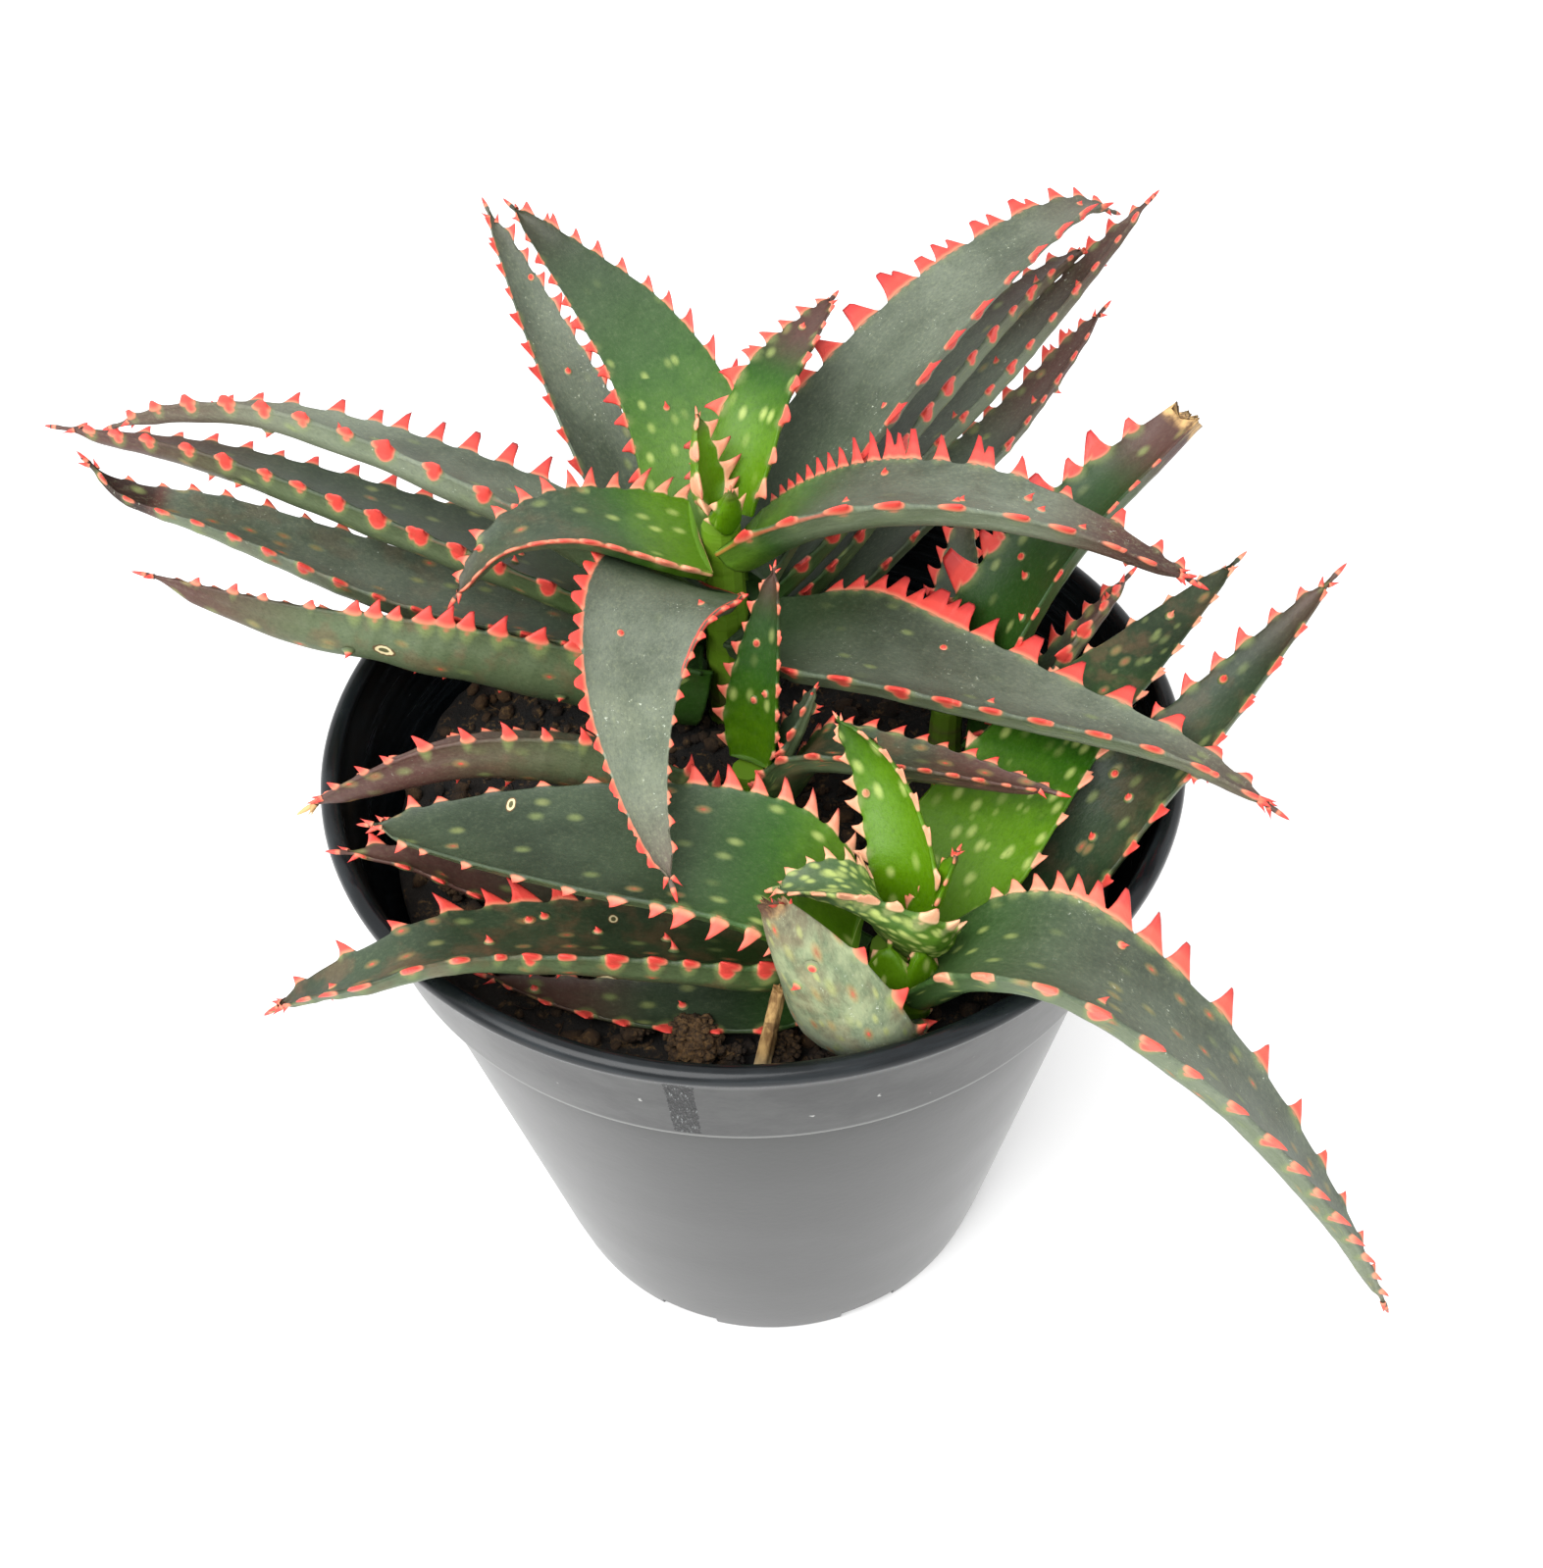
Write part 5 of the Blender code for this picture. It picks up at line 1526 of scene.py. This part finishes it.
def leaf_material():
    """Waxy green skin with spots, grey bloom with a painted sheen, stained tips and coral teeth."""
    g = Graph("aloe_leaf")
    place = g.vector("place")
    patches = g.noise(g.stretch(place, (0.6, 1.0, 1.0)), 0.07, 4, 0.5)
    blotches = g.noise(place, 0.3, 4, 0.6)
    stipple = g.noise(g.stretch(place, (1.2, 3.0, 1.0)), 1.0, 2)
    grain = g.noise(g.stretch(place, (1.0, 1.4, 1.0)), 1.1, 5, 0.8)
    # How much wax lies on the skin, in worn patches; its grey also paints the sheen of the light
    wear_and_highlight = g.plus(0.35, g.times(g.steps(patches, 0.3, 0.75), 0.5))
    wear_and_highlight = g.plus(wear_and_highlight, g.times(g.minus(blotches, 0.5), 0.5))
    wax_and_sheen = g.times(g.field("bloom_and_sheen"), wear_and_highlight)
    colour = leaf_green(g, place, patches, blotches, wax_and_sheen)
    colour, oval = leaf_spots(g, place, colour)
    colour = leaf_grain(g, place, colour, wax_and_sheen, stipple, grain)
    colour = ring_scars(g, place, colour)
    colour = tooth_colours(g, colour)
    straw = g.blend(g.steps(blotches, 0.35, 0.65), DRY_BROWN, STRAW)
    colour = g.blend(g.field("dry"), colour, straw)
    rough = g.plus(g.plus(0.36, g.times(blotches, 0.12)), g.times(wax_and_sheen, 0.2))
    relief = g.plus(g.times(stipple, 0.1), g.times(blotches, 0.35))
    relief = g.plus(relief, g.times(grain, 0.22))
    relief = g.plus(relief, g.times(oval, 0.1))
    return g.finish(colour, rough, g.bump(relief, 0.5, 0.6), {"IOR": 1.39})


def pot_material():
    """Black nursery plastic: satin, a little dusty, with a rough moulding scar on the band. The band is
    painted darker as shade, and a light line along its foot is a painted highlight.
    """
    g = Graph("pot_black_plastic")
    place = g.place()
    x, y, z = g.node("SeparateXYZ", {0: place}).outputs
    dusty = g.noise(g.stretch(place, (25.0, 25.0, 45.0)), 1.0, 4)
    body = g.blend(g.times(g.steps(dusty, 0.3, 0.75), 0.4), POT_BLACK, POT_DUSTY)
    smears = g.noise(g.stretch(place, (60.0, 60.0, 90.0)), 1.0, 5, 0.7)
    # The band, painted darker than the body as shade, with smears over it
    band = g.blend(g.steps(smears, 0.35, 0.7), BAND_SHADED_BLACK, BAND_SMEAR)
    colour = g.blend(g.steps(z, 0.1160, 0.1166), body, band)
    # A thin light line painted along the band's lower edge: a painted highlight on the rounded ledge
    wear_and_highlight = g.times(g.steps(z, 0.1150, 0.1156), g.steps(z, 0.1168, 0.1160))
    colour = g.blend(g.times(wear_and_highlight, 0.55), colour, LEDGE_HIGHLIGHT_GREY)
    aside = g.math("ABSOLUTE", g.minus(g.math("ARCTAN2", y, x), SCAR_ANGLE))
    ragged = g.times(g.noise(place, 900.0, 2), 0.012)
    inside = g.math("LESS_THAN", g.plus(aside, ragged), SCAR_HALF_ANGLE)
    within = g.times(g.math("GREATER_THAN", z, 0.1168), g.math("LESS_THAN", z, 0.1352))
    scar = g.times(inside, within)
    hatch = g.noise(g.stretch(place, (2600.0, 2600.0, 500.0)), 1.0, 3, 0.7)
    scraped = g.blend(g.steps(hatch, 0.56, 0.72), SCAR_BLACK, SCAR_GREY)
    colour = g.blend(scar, colour, scraped)
    specks = g.steps(g.noise(place, 420.0, 2), 0.74, 0.78)
    specks = g.times(specks, g.math("GREATER_THAN", z, 0.117))
    colour = g.blend(g.times(specks, 0.6), colour, SPECK_GREY)
    rough = g.plus(g.plus(0.34, g.times(dusty, 0.16)), g.times(scar, 0.3))
    relief = g.times(g.noise(place, 700.0, 3), 0.15)
    relief = g.plus(relief, g.times(g.times(scar, hatch), 2.0))
    gloss = {"IOR": 1.3, "Sheen Weight": 0.32, "Sheen Roughness": 0.35}
    return g.finish(colour, rough, g.bump(relief, 0.35, 0.3), gloss)


def pot_inside_material():
    """The pot's lip and inside: near black and glossy, with fine scratches round it."""
    g = Graph("pot_black_gloss")
    scuffs = g.noise(g.stretch(g.place(), (60.0, 60.0, 900.0)), 1.0, 4)
    colour = g.blend(g.steps(scuffs, 0.4, 0.75), GLOSS_BLACK, SCUFF_GREY)
    rough = g.plus(0.14, g.times(scuffs, 0.2))
    return g.finish(colour, rough, g.bump(scuffs, 0.2, 0.2), {"IOR": 1.36})


def soil_material(name, dark, light):
    """Damp potting soil, between two browns, with dried tops."""
    g = Graph(name)
    place = g.place()
    grains = g.noise(place, 420.0, 6, 0.7)
    clods = g.noise(place, 90.0, 4)
    colour = g.blend(g.steps(clods, 0.35, 0.7), dark, light)
    colour = g.blend(g.times(g.steps(grains, 0.54, 0.74), 0.75), colour, GRAIN_BROWN)
    dried = g.steps(g.noise(place, 1500.0, 4, 0.8), 0.42, 0.62)
    dried = g.times(dried, g.steps(g.height(place), 0.1215, 0.127))
    colour = g.blend(g.times(dried, 0.5), colour, DRIED_PEAT)
    return g.finish(colour, 0.9, g.bump(grains, 0.9, 1.2))


def stem_material():
    """Green stem skin with brown leaf scars."""
    g = Graph("stem_skin")
    place = g.place()
    rings = g.noise(g.stretch(place, (60.0, 60.0, 500.0)), 1.0, 4)
    colour = g.blend(g.steps(rings, 0.35, 0.7), STEM_GREEN, STEM_BROWN)
    bright = g.times(g.steps(g.height(place), 0.126, 0.137), 0.85)
    return g.finish(g.blend(bright, colour, STEM_BRIGHT), 0.6, g.bump(rings, 0.6, 0.5))


def straw_material():
    """Dry fibrous straw of the old flower stalk."""
    g = Graph("dry_straw")
    place = g.place()
    fibres = g.noise(g.stretch(place, (900.0, 900.0, 120.0)), 1.0, 5)
    colour = g.blend(g.steps(fibres, 0.3, 0.7), STRAW_DARK, STRAW_LIGHT)
    pale = g.times(g.steps(g.height(place), 0.1275, 0.1215), 0.65)
    colour = g.blend(pale, colour, STRAW_PALE)
    knots = g.steps(g.noise(g.stretch(place, (200.0, 200.0, 420.0)), 1.0, 2), 0.62, 0.7)
    colour = g.blend(g.times(knots, 0.6), colour, KNOT_BROWN)
    return g.finish(colour, 0.85, g.bump(fibres, 0.8, 0.4))


def floor_material():
    """Plain matte white."""
    g = Graph("white_floor")
    return g.finish((0.93, 0.93, 0.93, 1), 0.9, constants={"Specular IOR Level": 0.1})


# The stage, in metres and degrees. The camera was fitted to the photograph's pot: its
# focal length is in pixels of the photograph's height
FLOOR_REACH = 3.0
SKY_STRENGTH = 1.15
LAMP_PLACE = (-0.42, -0.58, 0.95)
LAMP_AIM = (0, 0, 0.1)
LAMP_SIZE = 0.9
LAMP_POWER = 15.0
CAMERA_PLACE = (0.0031, -0.1905, 0.3207)
CAMERA_DOWN = 46.3
CAMERA_LEAN = -2.3
FOCAL_PIXELS = 1500.0
PHOTO_HEIGHT = 1599.0
SENSOR = 36.0


def make_stage():
    """A white floor, a white surround and one soft lamp above."""
    mesh = bpy.data.meshes.new("floor")
    corners = [(x * FLOOR_REACH, y * FLOOR_REACH, 0) for x, y in ((-1, -1), (1, -1), (1, 1), (-1, 1))]
    mesh.from_pydata(corners, [], [(0, 1, 2, 3)])
    floor = new_object("floor", mesh, floor_material())
    world = bpy.data.worlds.new("soft_studio")
    bpy.context.scene.world = world
    world.use_nodes = True
    sky = world.node_tree.nodes["Background"].inputs
    sky["Color"].default_value = (1, 1, 1, 1)
    sky["Strength"].default_value = SKY_STRENGTH
    light = bpy.data.lights.new("front_softbox", "AREA")
    light.size = LAMP_SIZE
    light.energy = LAMP_POWER
    lamp = bpy.data.objects.new("front_softbox", light)
    lamp.location = LAMP_PLACE
    lamp.rotation_euler = (Vector(LAMP_AIM) - Vector(LAMP_PLACE)).to_track_quat("-Z", "Y").to_euler()
    bpy.context.scene.collection.objects.link(lamp)


def make_camera():
    """The photograph's viewpoint: 46 degrees down, a short distance from the plant."""
    lens = bpy.data.cameras.new("camera")
    lens.sensor_width = SENSOR
    lens.lens = FOCAL_PIXELS * SENSOR / PHOTO_HEIGHT
    lens.clip_start = 0.01
    camera = bpy.data.objects.new("camera", lens)
    camera.location = CAMERA_PLACE
    look = Matrix.Rotation(math.radians(90 - CAMERA_DOWN), 3, "X")
    lean = Matrix.Rotation(math.radians(CAMERA_LEAN), 3, "Z")
    camera.rotation_euler = (look @ lean).to_euler()
    bpy.context.scene.collection.objects.link(camera)
    bpy.context.scene.camera = camera


def dress_node(name, material):
    """Gives a CAD node that stays a better material."""
    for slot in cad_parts[name].material_slots:
        slot.material = material


def main():
    """Dresses the plant, its soil and its pot."""
    green = leaf_material()
    for leaf in LEAVES:
        make_leaf(leaf, green)
    make_pot()
    make_soil()
    make_stalk()
    skin = stem_material()
    for name in ROSETTES:
        dress_node(name + "_stem", skin)
    make_stage()
    make_camera()
    bpy.context.scene.view_settings.view_transform = "Standard"


main()
